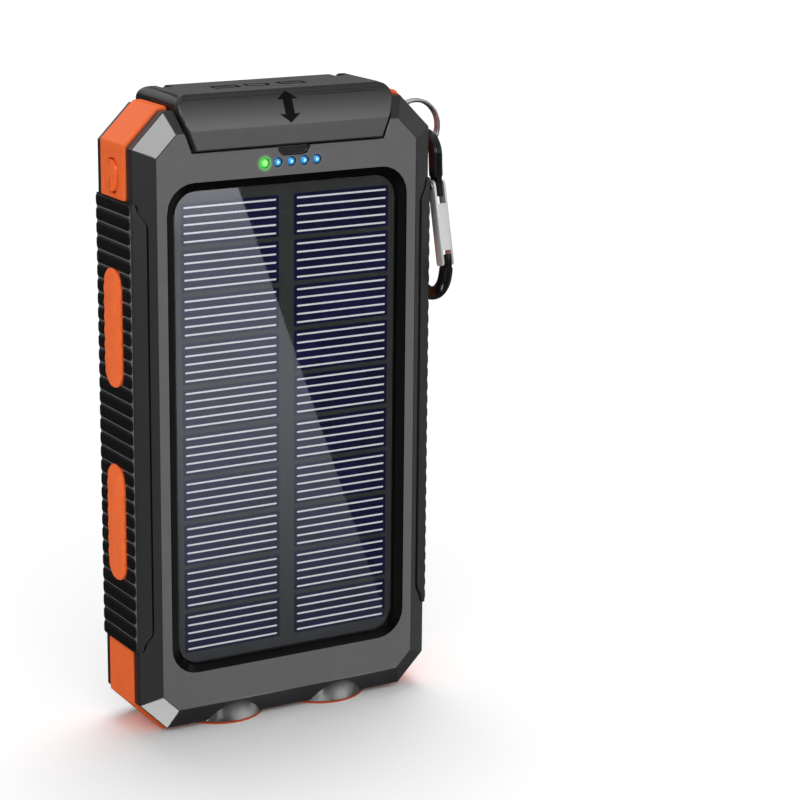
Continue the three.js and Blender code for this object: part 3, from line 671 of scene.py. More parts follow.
def flange_t(z):
    """How far in the flange reaches on the bevel, 0 at its foot and 1 at the face."""
    top = [(120.5, 0.04), (120.2, 0.13), (119.0, 0.19), (118.3, 0.24), (117.1, 0.42), (116.0, 0.55), (115.2, 0.58)]
    bot = [(19.6, 0.04), (20.4, 0.17), (20.9, 0.22), (21.9, 0.24), (24.2, 0.55), (25.0, 0.58)]
    if z >= 115.2:
        seq = sorted(top)
    elif z <= 25.0:
        seq = bot
    else:
        return 0.58
    if z <= seq[0][0]:
        return seq[0][1]
    for (za, ta), (zb, tb) in zip(seq, seq[1:]):
        if z <= zb:
            return ta + (tb - ta) * (z - za) / (zb - za)
    return seq[-1][1]


def bevel_point(t, lift):
    """A point on the bevel at fraction t in from its foot, lifted off it."""
    return (36.6 - 4.7 * t + 0.47 * lift, -(8.5 + 2.5 * t + 0.883 * lift))


def grip_section(z):
    """Closed loop of (x, y) for the +X grip at height z, clockwise from the front flange's inner edge."""
    t = flange_t(z)
    out = []
    edge = 0.42
    out.append(bevel_point(t, 0.08))
    out.append(bevel_point(t, edge - 0.12))
    out.append(bevel_point(max(0.0, t - 0.03), edge))
    for k in range(1, 5):
        out.append(bevel_point(max(0.0, (t - 0.03) * (1 - k / 5)), edge))
    out.append((36.86, -8.84))
    out.append((37.0, -8.62))
    out.append((37.02, -8.3))
    for y in (-7, -5.6, -4, -2, 0, 2, 4, 5.6, 7):
        out.append((37.02, y))
    back = [(x, -y) for x, y in out[:10]]
    return out + list(reversed(back)) + [(36.68, 8.5), (36.68, 5.95), (36.28, 5.95), (36.28, -5.95), (36.68, -5.95), (36.68, -8.5)]


zs = [19.6 + 0.35 * i for i in range(int((120.5 - 19.6) / 0.35) + 1)]
zs = [max(z, 20.02) for z in zs if z < 120.4] + [120.48]
zs = sorted(set(zs))
for side, s in (("left", -1), ("right", 1)):
    bm = bmesh.new()
    loops = [[(s * x, y, z) for x, y in grip_section(z)] for z in zs]
    loft(bm, loops)
    bmesh.ops.remove_doubles(bm, verts=bm.verts, dist=0.004)
    # painted highlight: the grip's side between the rib pads takes the light grey, standing in for the light lines
    # along the ribs
    for f in bm.faces:
        c = f.calc_center_median()
        f.material_index = 1 if abs(c.x) > 36.95 and abs(c.y) < 8.55 and 21.0 < c.z < 119.5 else 0
    base = piece(f"{side}_grip_body", bm, [rubber_base, rubber_gap_painted_highlight], "housing", [f"{side}_grip"])
    # window for each inlay
    for i, (a, b) in enumerate(INLAYS):
        cb = bmesh.new()
        ol = inlay_outline(a, b, grow=0.18)
        loft(cb, [[(s * 35.5, y, z) for y, z in ol], [(s * 39.0, y, z) for y, z in ol]])
        bmesh.ops.scale(cb, vec=(MM,) * 3, verts=cb.verts)
        bmesh.ops.recalc_face_normals(cb, faces=cb.faces)
        me = bpy.data.meshes.new("cutter")
        cb.to_mesh(me)
        cb.free()
        co = bpy.data.objects.new("cutter", me)
        scene.collection.objects.link(co)
        md = base.modifiers.new("window", "BOOLEAN")
        md.operation, md.solver, md.object = "DIFFERENCE", "EXACT", co
        dg = bpy.context.evaluated_depsgraph_get()
        nm = bpy.data.meshes.new_from_object(base.evaluated_get(dg))
        base.modifiers.clear()
        base.data = nm
        bpy.data.objects.remove(co)
    base.data.set_sharp_from_angle(angle=rad(32))

    # painted shadow line: a thin black strip round the flange's inner edge, standing in for the shade there
    bm = bmesh.new()
    path = []
    for i in range(102):
        z = 20.25 + (120.2 - 20.25) * i / 101
        x, y = bevel_point(flange_t(z) + 0.035, 0.02)
        path.append((s * x, y, z))
    sweep(bm, path, 0.2, 6)
    piece(f"{side}_grip_painted_shadow_line", bm, recess_black, "housing")

    # rib pads
    bm = bmesh.new()
    bands = [(LINES[0] + 0.28, 120.35)] + [(LINES[k + 1] + 0.28, LINES[k] - 0.28) for k in range(30)] + [(20.15, LINES[30] - 0.28)]

    def hit(z):
        for a, b in INLAYS:
            if a - 0.6 < z < b + 0.6:
                return (a, b)
        return None

    def half_at(ab, z):
        a, b = ab
        best = 0.0
        ol = inlay_outline(a, b, grow=0.62, wave=0.0)
        n = len(ol) // 2
        for (w0, z0), (w1, z1) in zip(ol[:n], ol[1:n]):
            if min(z0, z1) <= z <= max(z0, z1):
                best = max(best, w0 + (w1 - w0) * (z - z0) / (z1 - z0 + 1e-9))
        return best

    def place(u, v, h, s=s):
        a = abs(u)
        drop = 0.0
        if a > 7.3:
            drop = 0.16 * (a - 7.3) ** 2
        return (s * (h - drop), u, v)

    for z0, z1 in bands:
        zc, hh = (z0 + z1) / 2, (z1 - z0) / 2
        N = 14
        runs = []
        w_lo, w_mid, w_hi = [half_at(hit(z), z) if hit(z) else 0.0 for z in (z0, zc, z1)]
        if max(w_lo, w_mid, w_hi) < 0.3 or min(w_lo, w_hi) < 0.3:
            ol = rrect(-8.45, 8.45, z0, z1, min(0.85, hh * 0.85), 5)
            # extra points along the long edges so that the pad can bend over the corner
            dense = []
            for i in range(len(ol)):
                p, q = ol[i], ol[(i + 1) % len(ol)]
                steps = max(1, int(math.dist(p, q) / 0.8))
                dense += [(p[0] + (q[0] - p[0]) * k / steps, p[1] + (q[1] - p[1]) * k / steps) for k in range(steps)]
            runs.append(dense)
        else:
            inner = [(max(0.05, half_at(hit(z), z) if hit(z) else 0.0), z) for z in [z0 + (z1 - z0) * k / 8 for k in range(9)]]
            if min(w for w, _ in inner) < 0.3:
                # the band is only partly cut by the end of the inlay
                inner = [(max(w, 0.0), z) for w, z in inner]
            ring = [(8.45 - 0.85, z0)] + [(8.45 - 0.85 + 0.85 * math.sin(rad(a)), z0 + 0.85 - 0.85 * math.cos(rad(a))) for a in (22, 45, 68, 90)]
            ring += [(8.45 - 0.85 + 0.85 * math.cos(rad(a)), z1 - 0.85 + 0.85 * math.sin(rad(a))) for a in (0, 22, 45, 68, 90)]
            ring += [(w, z) for w, z in reversed(inner)]
            dense = []
            for i in range(len(ring)):
                p, q = ring[i], ring[(i + 1) % len(ring)]
                if math.dist(p, q) < 1e-4:
                    continue
                steps = max(1, int(math.dist(p, q) / 0.8))
                dense += [(p[0] + (q[0] - p[0]) * k / steps, p[1] + (q[1] - p[1]) * k / steps) for k in range(steps)]
            runs.append(dense)
            runs.append([(-u, v) for u, v in reversed(dense)])
        for ol in runs:
            pad(bm, ol, place, 36.9, 37.52, round_=0.26, steps=3)
    piece(f"{side}_grip_ribs", bm, rubber, "housing")

    # inlays
    for (a, b), which in zip(INLAYS, ("lower", "upper")):
        bm = bmesh.new()
        ol = inlay_outline(a, b)
        pad(bm, ol, lambda u, v, h, s=s: (s * h, u, v), 36.28, 37.84, round_=0.45, steps=4)
        piece(f"{side}_inlay_{which}", bm, inlay_orange, "housing", [f"{side}_grip_inlay_{which}"])

# ------------------------------------------------------------------ flip cover
S0, S1 = Vector((-11.8, 135.5)), Vector((-8.3, 142.8))
SD = (S1 - S0).normalized()
SN = Vector((-SD.y, SD.x))


def slope(t, lift=0.0):
    """The cover's sloped front, slightly crowned: (y, z) at fraction t from the crease to the top."""
    p = S0 + (S1 - S0) * t + SN * (4 * 0.45 * t * (1 - t))
    tangent = ((S1 - S0) + SN * (4 * 0.45 * (1 - 2 * t))).normalized()
    n = Vector((-tangent.y, tangent.x))
    p = p + n * lift
    return (p.x, p.y)


HY, HZ = 7.8, 139.8
outer = [(-11.3, 131.0), (-11.62, 131.1), (-11.8, 131.4), (-11.8, 133.4), (-11.8, 135.42)]
outer += [slope(t / 14) for t in range(1, 13)]
q0, q1, q2 = Vector(slope(12 / 14)), S1 + Vector((0.05, 0)), Vector((-6.9, 142.8))
outer += [tuple(q0 * (1 - t) ** 2 + q1 * 2 * t * (1 - t) + q2 * t * t) for t in (0.2, 0.4, 0.6, 0.8, 1.0)]
outer += [(-3.0, 142.8), (1.0, 142.8), (5.0, 142.8)]
barrel = [(HY + 3.0 * math.cos(rad(a)), HZ + 3.0 * math.sin(rad(a))) for a in range(90, -156, -12)]
skin = outer + barrel + [(4.6, 141.2), (-7.5, 141.2), (-10.4, 135.2), (-10.4, 131.0)]
full = outer + barrel + [(4.6, 139.0), (4.4, 136.6), (-9.6, 136.0), (-10.4, 135.2), (-10.4, 131.0)]
half = [(23.0, 131.0), (24.8, 135.5), (26.25, 139.4), (26.33, 140.1), (26.27, 140.8), (26.05, 141.4), (25.7, 141.95), (25.2, 142.4), (24.5, 142.7), (23.6, 142.8)]
low = [(22.2, 129.0)]
outline = [(-x, z) for x, z in low + half[:-1]] + [(-23.6, 143.4), (23.6, 143.4)] + [(x, z) for x, z in reversed(low + half[:-1])]
inside = [(-21.2, 129.0), (-23.4, 135.5), (-24.6, 141.2), (-24.6, 141.9), (24.6, 141.9), (24.6, 141.2), (23.4, 135.5), (21.2, 129.0)]
along_x = lambda u, v, a: (a, u, v)
along_y = lambda u, v, a: (u, a, v)
bm = bmesh.new()
loft(bm, [[(x, y, z) for y, z in skin] for x in (-30, 30)])
cover = piece("usb_cover_moulding", bm, [cover_grey], "usb_cover", ["usb_cover"], angle=24, weighted=True)
cheeks = prism(full, -30, 30, along_x)
ch = bpy.data.objects.new("cheeks", bpy.data.meshes.new("cheeks"))
bmesh.ops.recalc_face_normals(cheeks, faces=cheeks.faces)
cheeks.to_mesh(ch.data)
cheeks.free()
scene.collection.objects.link(ch)
boolean(ch, [prism(inside, -20, 20, along_y)], "DIFFERENCE")
cb = bmesh.new()
cb.from_mesh(ch.data)
bpy.data.objects.remove(ch)
boolean(cover, [cb], "UNION")
boolean(cover, [prism(outline, -20, 20, along_y)], "INTERSECT")
cb = bmesh.new()
cb.from_mesh(cover.data)
bmesh.ops.remove_doubles(cb, verts=cb.verts, dist=5e-6)
bmesh.ops.dissolve_limit(cb, angle_limit=rad(0.5), verts=cb.verts, edges=cb.edges)


def cover_rim(e):
    """Edges where the crowned outside meets the ends."""
    if min(v.co.z for v in e.verts) < 0.13095 or max(v.co.y for v in e.verts) > 0.0082:
        return False
    n0, n1 = [f.normal for f in e.link_faces]
    side = lambda n: abs(n.y) < 0.05 and abs(n.x) > 0.05
    top = lambda n: abs(n.x) < 0.02 and (n.y < -0.3 or n.z > 0.6)
    return side(n0) and top(n1) or side(n1) and top(n0)


soften(cb, 0.00075, 4, angle=12, shortest=0.0, keep=cover_rim)
cb.to_mesh(cover.data)
cb.free()
slots = [prism([(4.9, 134.0), (12.0, 134.0), (12.0, 145.0), (4.9, 145.0)], a, b, along_x) for a, b in ((-22.9, -20.1), (20.1, 22.9))]
bore = prism([(HY + math.cos(rad(a)), HZ + math.sin(rad(a))) for a in range(0, 360, 15)], -24.6, 24.6, along_x)
boolean(cover, slots + [bore], "DIFFERENCE")
cover.data.set_sharp_from_angle(angle=rad(24))
cover.data.materials.append(cover_end.m)
cover.data.materials.append(cover_slope_painted_shade.m)
# ends and undersides take the darker cover_end; the sloped front takes the painted shade gradient
for f in cover.data.polygons:
    n, c = f.normal, f.center
    if abs(n.x) > 0.3 or n.z < -0.5:
        f.material_index = 1
    elif c.z > 0.1356 and c.y < -0.0078 and n.y < -0.2:
        f.material_index = 2
    else:
        f.material_index = 0

# double-headed arrow let into the sloped front
bm = bmesh.new()
L = (S1 - S0).length
hl, hw, sw, hd = 3.62 / L, 2.5, 1.12, 2.0 / L
T0 = 0.485
arrow = [(0, -hl), (hw, -hl + hd), (sw, -hl + hd * 0.94), (sw, hl - hd * 0.94), (hw, hl - hd), (0, hl), (-hw, hl - hd), (-sw, hl - hd * 0.94), (-sw, -hl + hd * 0.94), (-hw, -hl + hd)]
vs = [[bm.verts.new((u, T0 + v, h)) for u, v in arrow] for h in (-0.25, 0.05)]
bm.faces.new(list(reversed(vs[0])))
bm.faces.new(vs[1])
for i in range(len(arrow)):
    j = (i + 1) % len(arrow)
    bm.faces.new((vs[0][i], vs[0][j], vs[1][j], vs[1][i]))
for k in range(1, 12):
    bmesh.ops.bisect_plane(bm, geom=bm.verts[:] + bm.edges[:] + bm.faces[:], plane_co=(0, T0 - hl + 2 * hl * k / 12, 0), plane_no=(0, 1, 0))
bmesh.ops.triangulate(bm, faces=bm.faces[:])
for v in bm.verts:
    y, z = slope(v.co.y, v.co.z)
    v.co = Vector((v.co.x, y, z))
piece("cover_arrow", bm, arrow_black, "usb_cover")

# socket outlines on the top
bm = bmesh.new()


def outline_mark(bm, outer, inner, z0, z1):
    o = [(u, v) for u, v in outer]
    i = [(u, v) for u, v in inner]
    ro = [[bm.verts.new((u, v, z)) for u, v in o] for z in (z0, z1)]
    ri = [[bm.verts.new((u, v, z)) for u, v in i] for z in (z0, z1)]
    n = len(o)
    for k in range(n):
        j = (k + 1) % n
        bm.faces.new((ro[0][k], ro[0][j], ro[1][j], ro[1][k]))
        bm.faces.new((ri[0][j], ri[0][k], ri[1][k], ri[1][j]))
        bm.faces.new((ro[1][k], ro[1][j], ri[1][j], ri[1][k]))
        bm.faces.new((ro[0][j], ro[0][k], ri[0][k], ri[0][j]))


MARK_Z0, MARK_Z1 = 142.5, 142.8
for cx, kind in ((-10.2, "A"), (-2.4, "m"), (6.0, "A")):
    if kind == "A":
        outline_mark(bm, rrect(cx - 3.2, cx + 3.2, -2.3, 1.5, 0.6, 3), rrect(cx - 2.45, cx + 2.45, -1.5, 0.75, 0.25, 3), MARK_Z0, MARK_Z1)
        pad(bm, rrect(cx - 1.8, cx + 1.8, -0.35, 0.4, 0.1, 2), lambda u, v, h: (u, v, h), MARK_Z0, MARK_Z1, round_=0.03, steps=1)
    else:
        tz = [(-2.1, -2.1), (2.1, -2.1), (2.9, -1.0), (2.9, 1.4), (-2.9, 1.4), (-2.9, -1.0)]
        outline_mark(bm, [(cx + u, v) for u, v in tz], [(cx + u * 0.76, -0.25 + (v + 0.25) * 0.62) for u, v in tz], MARK_Z0, MARK_Z1)
piece("cover_socket_marks", bm, recess_black, "usb_cover")

# ------------------------------------------------------------------ power key
bm = cad_bm("power_button")
soften(bm, 0.00030, 3, angle=40, shortest=0.0003, keep=lambda e: all(v.co.x < -0.0376 for v in e.verts))
piece("power_key", bm, orange_mat, "power_button", ["power_button"], mm=False)
bm = bmesh.new()
path = []
for i in range(41):
    a = rad(125 + 290 * i / 40)
    path.append((-37.78, 1.55 * math.cos(a), 124.9 + 2.1 * math.sin(a)))
sweep(bm, path, 0.16, 8)
sweep(bm, [(-37.78, 0, 125.2), (-37.78, 0, 126.2), (-37.78, 0, 127.4), (-37.78, 0, 128.0)], 0.16, 8)
for v in bm.verts:
    v.co.x = max(v.co.x, -37.84)
piece("power_symbol", bm, orange_mat, "power_button")

# ------------------------------------------------------------------ indicator lights
for i, x in enumerate([-6.1, -2.9, 0.4, 3.6, 6.7]):
    bm = bmesh.new()
    R = 0.93 if i == 0 else 0.78
    core = 0.46 if i == 0 else 0.36
    prof = [(0.0, -6.45), (0.7, -6.45), (0.7, -8.2), (R, -8.3), (R, -10.82)]
    for k in range(1, 9):
        a = rad(90 * k / 8)
        prof.append((R * math.cos(a) if k < 8 else 0.0, -10.82 - 0.3 * math.sin(a)))
    lathe(bm, prof, 28, lambda a, b, h, x=x: (x + a, h, 127.3 + b))
    for f in bm.faces:
        c = f.calc_center_median()
        if c.y < -10.9 and math.hypot(c.x - x, c.z - 127.3) < core:
            f.material_index = 1
    piece(f"indicator_lens_{i + 1}", bm, [green_light, green_core] if i == 0 else [blue_light, blue_core], "housing", [f"indicator_light_{i + 1}"])

# ------------------------------------------------------------------ torches
for side, s in (("left", -1), ("right", 1)):
    cx = 13.2 * s
    put = lambda a, b, h, cx=cx: (cx + a, b, h)
    bm = bmesh.new()
    prof = [(0.0, 3.0), (7.15, 3.0), (7.2, 2.9), (7.2, 2.1), (7.0, 1.85)]
    for k in range(1, 15):
        r = 7.0 * (1 - k / 14)
        prof.append((r, 0.85 + 1.0 * (r / 7.0) ** 2 + (0.05 * math.cos(k * math.pi) if 0 < k < 14 else 0)))
    prof[-1] = (0.0, 0.85)
    lathe(bm, prof, 64, put)
    piece(f"{side}_torch_lens", bm, lens_mat, "housing", [f"{side}_lamp_lens"], angle=20)
    bm = bmesh.new()
    prof = [(7.2, 3.22), (8.0, 3.22), (8.0, 4.2), (6.9, 7.6), (4.4, 10.6), (4.4, 11.6), (3.0, 11.6), (3.0, 10.7)]
    for k in range(0, 15):
        t = k / 14
        z = 10.5 - (10.5 - 3.25) * t
        prof.append((3.05 + 4.1 * math.sqrt(t), z))
    prof.append((7.2, 3.22))
    lathe(bm, prof, 64, put)
    bmesh.ops.remove_doubles(bm, verts=bm.verts, dist=0.001)
    piece(f"{side}_torch_reflector", bm, mirror_mat, "housing", [f"{side}_lamp_reflector"])
    bm = bmesh.new()
    lathe(bm, [(0, 12.28), (2.4, 12.28), (2.4, 11.4), (1.75, 11.35), (1.6, 11.0), (1.2, 10.75), (0.6, 10.62), (0, 10.6)], 32, put)
    piece(f"{side}_torch_emitter", bm, phosphor, "housing", [f"{side}_lamp_emitter"])

# ------------------------------------------------------------------ rear pad of raised dots
bm = bmesh.new()
STEP = 1.9
row = 0
z = 25.9
while z < 92.6:
    x = -24.0 + (STEP / 2 if row % 2 else 0)
    while x <= 24.2:
        # inside the eight-sided seat
        if abs(x) + max(0, z - 59) <= 24.2 + 27.0 and abs(x) + max(0, 59 - z) <= 24.2 + 27.0 and abs(x) < 24.4:
            lathe(bm, [(0.62, 10.35), (0.62, 10.62), (0.52, 10.82), (0.3, 10.93), (0.0, 10.96)], 8, lambda a, b, h, x=x, z=z: (x + a, h, z + b))
        x += STEP
    z += STEP * 0.866
    row += 1
bmesh.ops.holes_fill(bm, edges=bm.edges, sides=8)
piece("rear_grip_dots", bm, black_soft, "housing", angle=60)

# ------------------------------------------------------------------ compass
CZ = 120.5
yput = lambda a, b, h: (a, h, CZ + b)
bm = bmesh.new()
prof = [(0, 5.62), (8.1, 5.62), (8.5, 6.0), (8.5, 10.55)]
for k in range(1, 7):
    a = rad(180 * k / 6)
    prof.append((8.08 + 0.42 * math.cos(a), 10.55 + 0.42 * math.sin(a)))
prof += [(7.62, 10.4), (7.6, 6.6), (0, 6.6)]
lathe(bm, prof, 72, yput)
piece("compass_case", bm, black_soft, "housing", ["compass_bowl"])
bm = bmesh.new()
prof = [(0, 9.75), (7.35, 9.62), (7.42, 9.8), (7.42, 10.1)]
for k in range(1, 9):
    a = rad(90 * k / 8)
    prof.append((7.42 * math.cos(a) if k < 8 else 0.0, 10.1 + 0.82 * math.sin(a)))
lathe(bm, prof, 72, yput)
piece("compass_window", bm, dome_mat, "housing", ["compass_dome"])
bm = bmesh.new()
lathe(bm, [(0.55, 8.0), (1.3, 8.0), (1.3, 8.6), (6.85, 8.6), (6.95, 8.7), (6.95, 8.9), (6.85, 9.0), (1.4, 9.0), (1.2, 9.35), (0.7, 9.45), (0, 9.47), (0, 8.95), (0.55, 8.8), (0.55, 8.0)], 72, yput)
bmesh.ops.remove_doubles(bm, verts=bm.verts, dist=0.001)
piece("compass_disc", bm, dial_black, "compass_card", ["compass_card"])
bm = bmesh.new()
for k in range(72):
    a = rad(5 * k)
    r0, w = (5.3, 0.13) if k % 6 == 0 else (5.9, 0.07)
    ca, sa = math.cos(a), math.sin(a)
    if k % 18 == 0:
        continue
    pad(bm, [(r0, -w), (6.6, -w), (6.6, w), (r0, w)], lambda u, v, h, ca=ca, sa=sa: (u * ca - v * sa, h, CZ + u * sa + v * ca), 8.98, 9.03, round_=0.01, steps=1)
lathe(bm, [(0, 9.46), (0.75, 9.46), (0.75, 9.5), (0.0, 9.52)], 24, yput)
piece("compass_ticks", bm, dial_white, "compass_card")


def stroke(bm, pts, w, ang, radius):
    """A letter stroke on the card: pts in letter units, turned to stand at the given bearing."""
    ca, sa = math.cos(ang), math.sin(ang)
    for (u0, v0), (u1, v1) in zip(pts, pts[1:]):
        dx, dy = u1 - u0, v1 - v0
        ln = math.hypot(dx, dy)
        tx, ty = dx / ln, dy / ln
        nx, ny = -ty, tx
        quad = [(u0 - tx * w - nx * w, v0 - ty * w - ny * w), (u1 + tx * w - nx * w, v1 + ty * w - ny * w), (u1 + tx * w + nx * w, v1 + ty * w + ny * w), (u0 - tx * w + nx * w, v0 - ty * w + ny * w)]
        # bearing frame: outward = up of the letter
        pad(bm, quad, lambda u, v, h: (-(u * -sa + (radius + v) * ca) * -1, h, CZ + (u * ca + (radius + v) * sa)), 8.98, 9.05, round_=0.01, steps=1)


letters = {"N": [[(-0.6, -0.8), (-0.6, 0.8), (0.6, -0.8), (0.6, 0.8)]],
           "E": [[(0.5, 0.8), (-0.5, 0.8), (-0.5, -0.8), (0.5, -0.8)], [(-0.5, 0), (0.35, 0)]],
           "S": [[(0.55, 0.65), (0.0, 0.85), (-0.5, 0.55), (-0.3, 0.1), (0.35, -0.15), (0.5, -0.6), (0, -0.85), (-0.55, -0.65)]],
           "W": [[(-0.8, 0.8), (-0.4, -0.8), (0, 0.4), (0.4, -0.8), (0.8, 0.8)]]}
# seen from behind, +X is on the left, so east is at -X when north is up
bm = bmesh.new()
for ch, ang in (("N", 90), ("E", 180), ("S", 270), ("W", 0)):
    for st in letters[ch]:
        stroke(bm, [(u, v) for u, v in st], 0.13, rad(ang), 4.1)
piece("compass_letters", bm, dial_green, "compass_card")

# ------------------------------------------------------------------ split ring: two turns of wire
RC = Vector((38.2, 0.5, 130.6))
bm = bmesh.new()
path = []
N = 200
for i in range(N + 1):
    t = i / N
    a = rad(-65 + 700 * t)
    # the wire shifts over from the front turn to the back turn near the middle
    k = min(1.0, max(0.0, (t - 0.46) / 0.08))
    y = -0.47 + 0.94 * (k * k * (3 - 2 * k))
    path.append(RC + Vector((6.1 * math.cos(a), y, 6.1 * math.sin(a))))
sweep(bm, path, 0.44, 12)
piece("split_ring_wire", bm, steel, "split_ring", ["split_ring"])

# ------------------------------------------------------------------ carabiner
CX, ROD = 41.4, 1.6
line = [(-4.75, 115.2), (-4.25, 118.2), (-3.85, 121.4), (-3.65, 124.2)]
for a in range(160, 14, -29):
    line.append((0.8 + 4.5 * math.cos(rad(a)), 124.0 + 4.5 * math.sin(rad(a))))
line += [(5.35, 120.5), (5.5, 110.0), (5.5, 102.0)]
for a in range(-6, -181, -29):
    line.append((-1.75 + 7.2 * math.cos(rad(a)), 99.45 + 7.2 * math.sin(rad(a))))
line += [(-8.8, 101.0), (-8.5, 102.4)]
path = catmull([(CX, y, z) for y, z in line], 12)


def flat_ends(p, t, c):
    """Both ends are pressed flat where the gate straddles them."""
    lim = 1.7
    if c.y < -2 and 112 < c.z < 120.6:
        lim = 1.7 - 0.96 * min(1.0, max(0.0, (120.6 - c.z) / 1.1))
    if c.y < -6.5 and 98.9 < c.z < 104:
        lim = 1.7 - 0.96 * min(1.0, max(0.0, (c.z - 98.9) / 0.9))
    return Vector((CX + max(-lim, min(lim, p.x - CX)), p.y, p.z))


bm = bmesh.new()
sweep(bm, path, ROD - 0.02, 28, squash=flat_ends)
soften(bm, 0.3, 3, angle=60, shortest=0.0)
carab = piece("carabiner_hook", bm, enamel, "carabiner", ["carabiner_body"])

py, pz = -4.5, 117.5
ny, nz = -8.75, 99.9
ln = math.hypot(ny - py, nz - pz)
vy, vz = (py - ny) / ln, (pz - nz) / ln


def gate3(x, u, v):
    return (CX + x, py + u * vz + v * vy, pz - u * vy + v * vz)


bm = bmesh.new()
# cheeks: long plates with a round head over the pin and a cut foot
ol = [(1.35 * math.cos(rad(180 * k / 12)), 0.12 + 1.35 * math.sin(rad(180 * k / 12))) for k in range(13)]
ol += [(-1.38, -ln + 0.5), (-1.05, -ln), (1.05, -ln), (1.38, -ln + 0.5)]
for s in (-1, 1):
    pad(bm, ol, lambda u, v, h, s=s: gate3(s * h, u, v), 1.05, 1.58, round_=0.14, steps=2)
# web bent from the same sheet, with round outer corners
sec = [(-1.12 + 0.46 * math.cos(rad(a)), -0.98 + 0.46 * math.sin(rad(a))) for a in (180, 202, 225, 247, 270)]
sec += [(1.12 + 0.46 * math.cos(rad(a)), -0.98 + 0.46 * math.sin(rad(a))) for a in (270, 292, 315, 337, 360)]
sec += [(1.1, -0.86), (-1.1, -0.86)]
loft(bm, [[gate3(x, u, v) for x, u in sec] for v in (-ln + 3.42, -ln + 3.6, -4.2, -4.02)])
gate = piece("carabiner_gate_channel", bm, gate_mat, "carabiner_gate", ["carabiner_gate"])

bm = bmesh.new()
prof = [(0, -1.98), (0.45, -1.95), (0.78, -1.82), (0.82, -1.63), (0.55, -1.61), (0.55, 1.61), (0.82, 1.63), (0.78, 1.82), (0.45, 1.95), (0, 1.98)]
lathe(bm, prof, 24, lambda a, b, h: (CX + h, py + a, pz + b))
piece("gate_rivet", bm, steel, "carabiner", ["gate_pin"])
bm = bmesh.new()
spr = []
for i in range(121):
    t = i / 120
    a = 2 * math.pi * 6 * t
    x, u, v = 0.45 * math.cos(a), 0.55 * math.sin(a), -4.3 - 3.6 * t
    spr.append(gate3(x, u, v))
sweep(bm, spr, 0.13, 8)
piece("gate_coil", bm, steel, "carabiner_gate", ["gate_spring"])

# ------------------------------------------------------------------ carried-over CAD nodes
given = {
    "port_panel": black_soft, "port_gasket": rubber, "cover_hinge_pin": steel, "power_switch": chip,
    "solar_cell_board": board_mat, "panel_adhesive": glue, "lamp_board": pcb, "main_board": pcb,
    "left_usb_a_socket": steel, "right_usb_a_socket": steel, "micro_usb_socket": steel,
    "left_board_screw": steel, "right_board_screw": steel, "charge_controller": chip, "boost_inductor": chip,
    "front_battery_cell": foil, "rear_battery_cell": foil, "battery_foam": foam, "battery_protection_board": pcb,
    "battery_lead_positive": red_wire, "battery_lead_negative": black_wire,
    "panel_lead_positive": red_wire, "panel_lead_negative": black_wire,
    "lamp_lead_positive": red_wire, "lamp_lead_negative": black_wire, "compass_pivot": steel,
}
for n, k in given.items():
    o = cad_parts[n]
    o.data.materials.clear()
    o.data.materials.append(k.m)

# ------------------------------------------------------------------ stage, light
fl = bpy.data.meshes.new("floor")
S = 30.0
fl.from_pydata([(-S, -S, 0), (S, -S, 0), (S, S, 0), (-S, S, 0)], [], [(0, 1, 2, 3)])
floor_mat = Mat("floor_paint", (0.96, 0.96, 0.96), 0.8)
floor_mat.set("Specular IOR Level", 0.0)
fl.materials.append(floor_mat.m)
floor = bpy.data.objects.new("floor", fl)
scene.collection.objects.link(floor)
floor.visible_glossy = False

# white studio all round for diffuse light, and a dim room with bounded softboxes for gloss
world = bpy.data.worlds.new("studio")
scene.world = world
world.use_nodes = True
world.cycles.sampling_method = "NONE"
wn = world.node_tree
bg = wn.nodes["Background"]
bg.inputs["Color"].default_value = (1, 1, 1, 1)
bg.inputs["Strength"].default_value = 0.52
bg2 = wn.nodes.new("ShaderNodeBackground")
bg2.inputs["Strength"].default_value = 1.0
tcw = wn.nodes.new("ShaderNodeTexCoord")
sepw = wn.nodes.new("ShaderNodeSeparateXYZ")
wn.links.new(tcw.outputs["Generated"], sepw.inputs["Vector"])
mrw = wn.nodes.new("ShaderNodeMapRange")
mrw.inputs["From Min"].default_value = -1.0
mrw.inputs["From Max"].default_value = 1.0
wn.links.new(sepw.outputs["Z"], mrw.inputs["Value"])
rw = wn.nodes.new("ShaderNodeValToRGB")
els = rw.color_ramp.elements
els[0].position, els[0].color = 0.0, (0.06, 0.06, 0.06, 1)
els[1].position, els[1].color = 1.0, (0.95, 0.95, 0.95, 1)
for p, v in ((0.25, 0.05), (0.35, 0.05), (0.66, 0.05), (0.78, 0.35)):
    e = els.new(p)
    e.color = (v, v, v, 1)
wn.links.new(mrw.outputs["Result"], rw.inputs["Fac"])
wn.links.new(rw.outputs["Color"], bg2.inputs["Color"])
lp = wn.nodes.new("ShaderNodeLightPath")
mxw = wn.nodes.new("ShaderNodeMixShader")
wn.links.new(lp.outputs["Is Glossy Ray"], mxw.inputs["Fac"])
wn.links.new(bg.outputs["Background"], mxw.inputs[1])
wn.links.new(bg2.outputs["Background"], mxw.inputs[2])
wn.links.new(mxw.outputs["Shader"], wn.nodes["World Output"].inputs["Surface"])


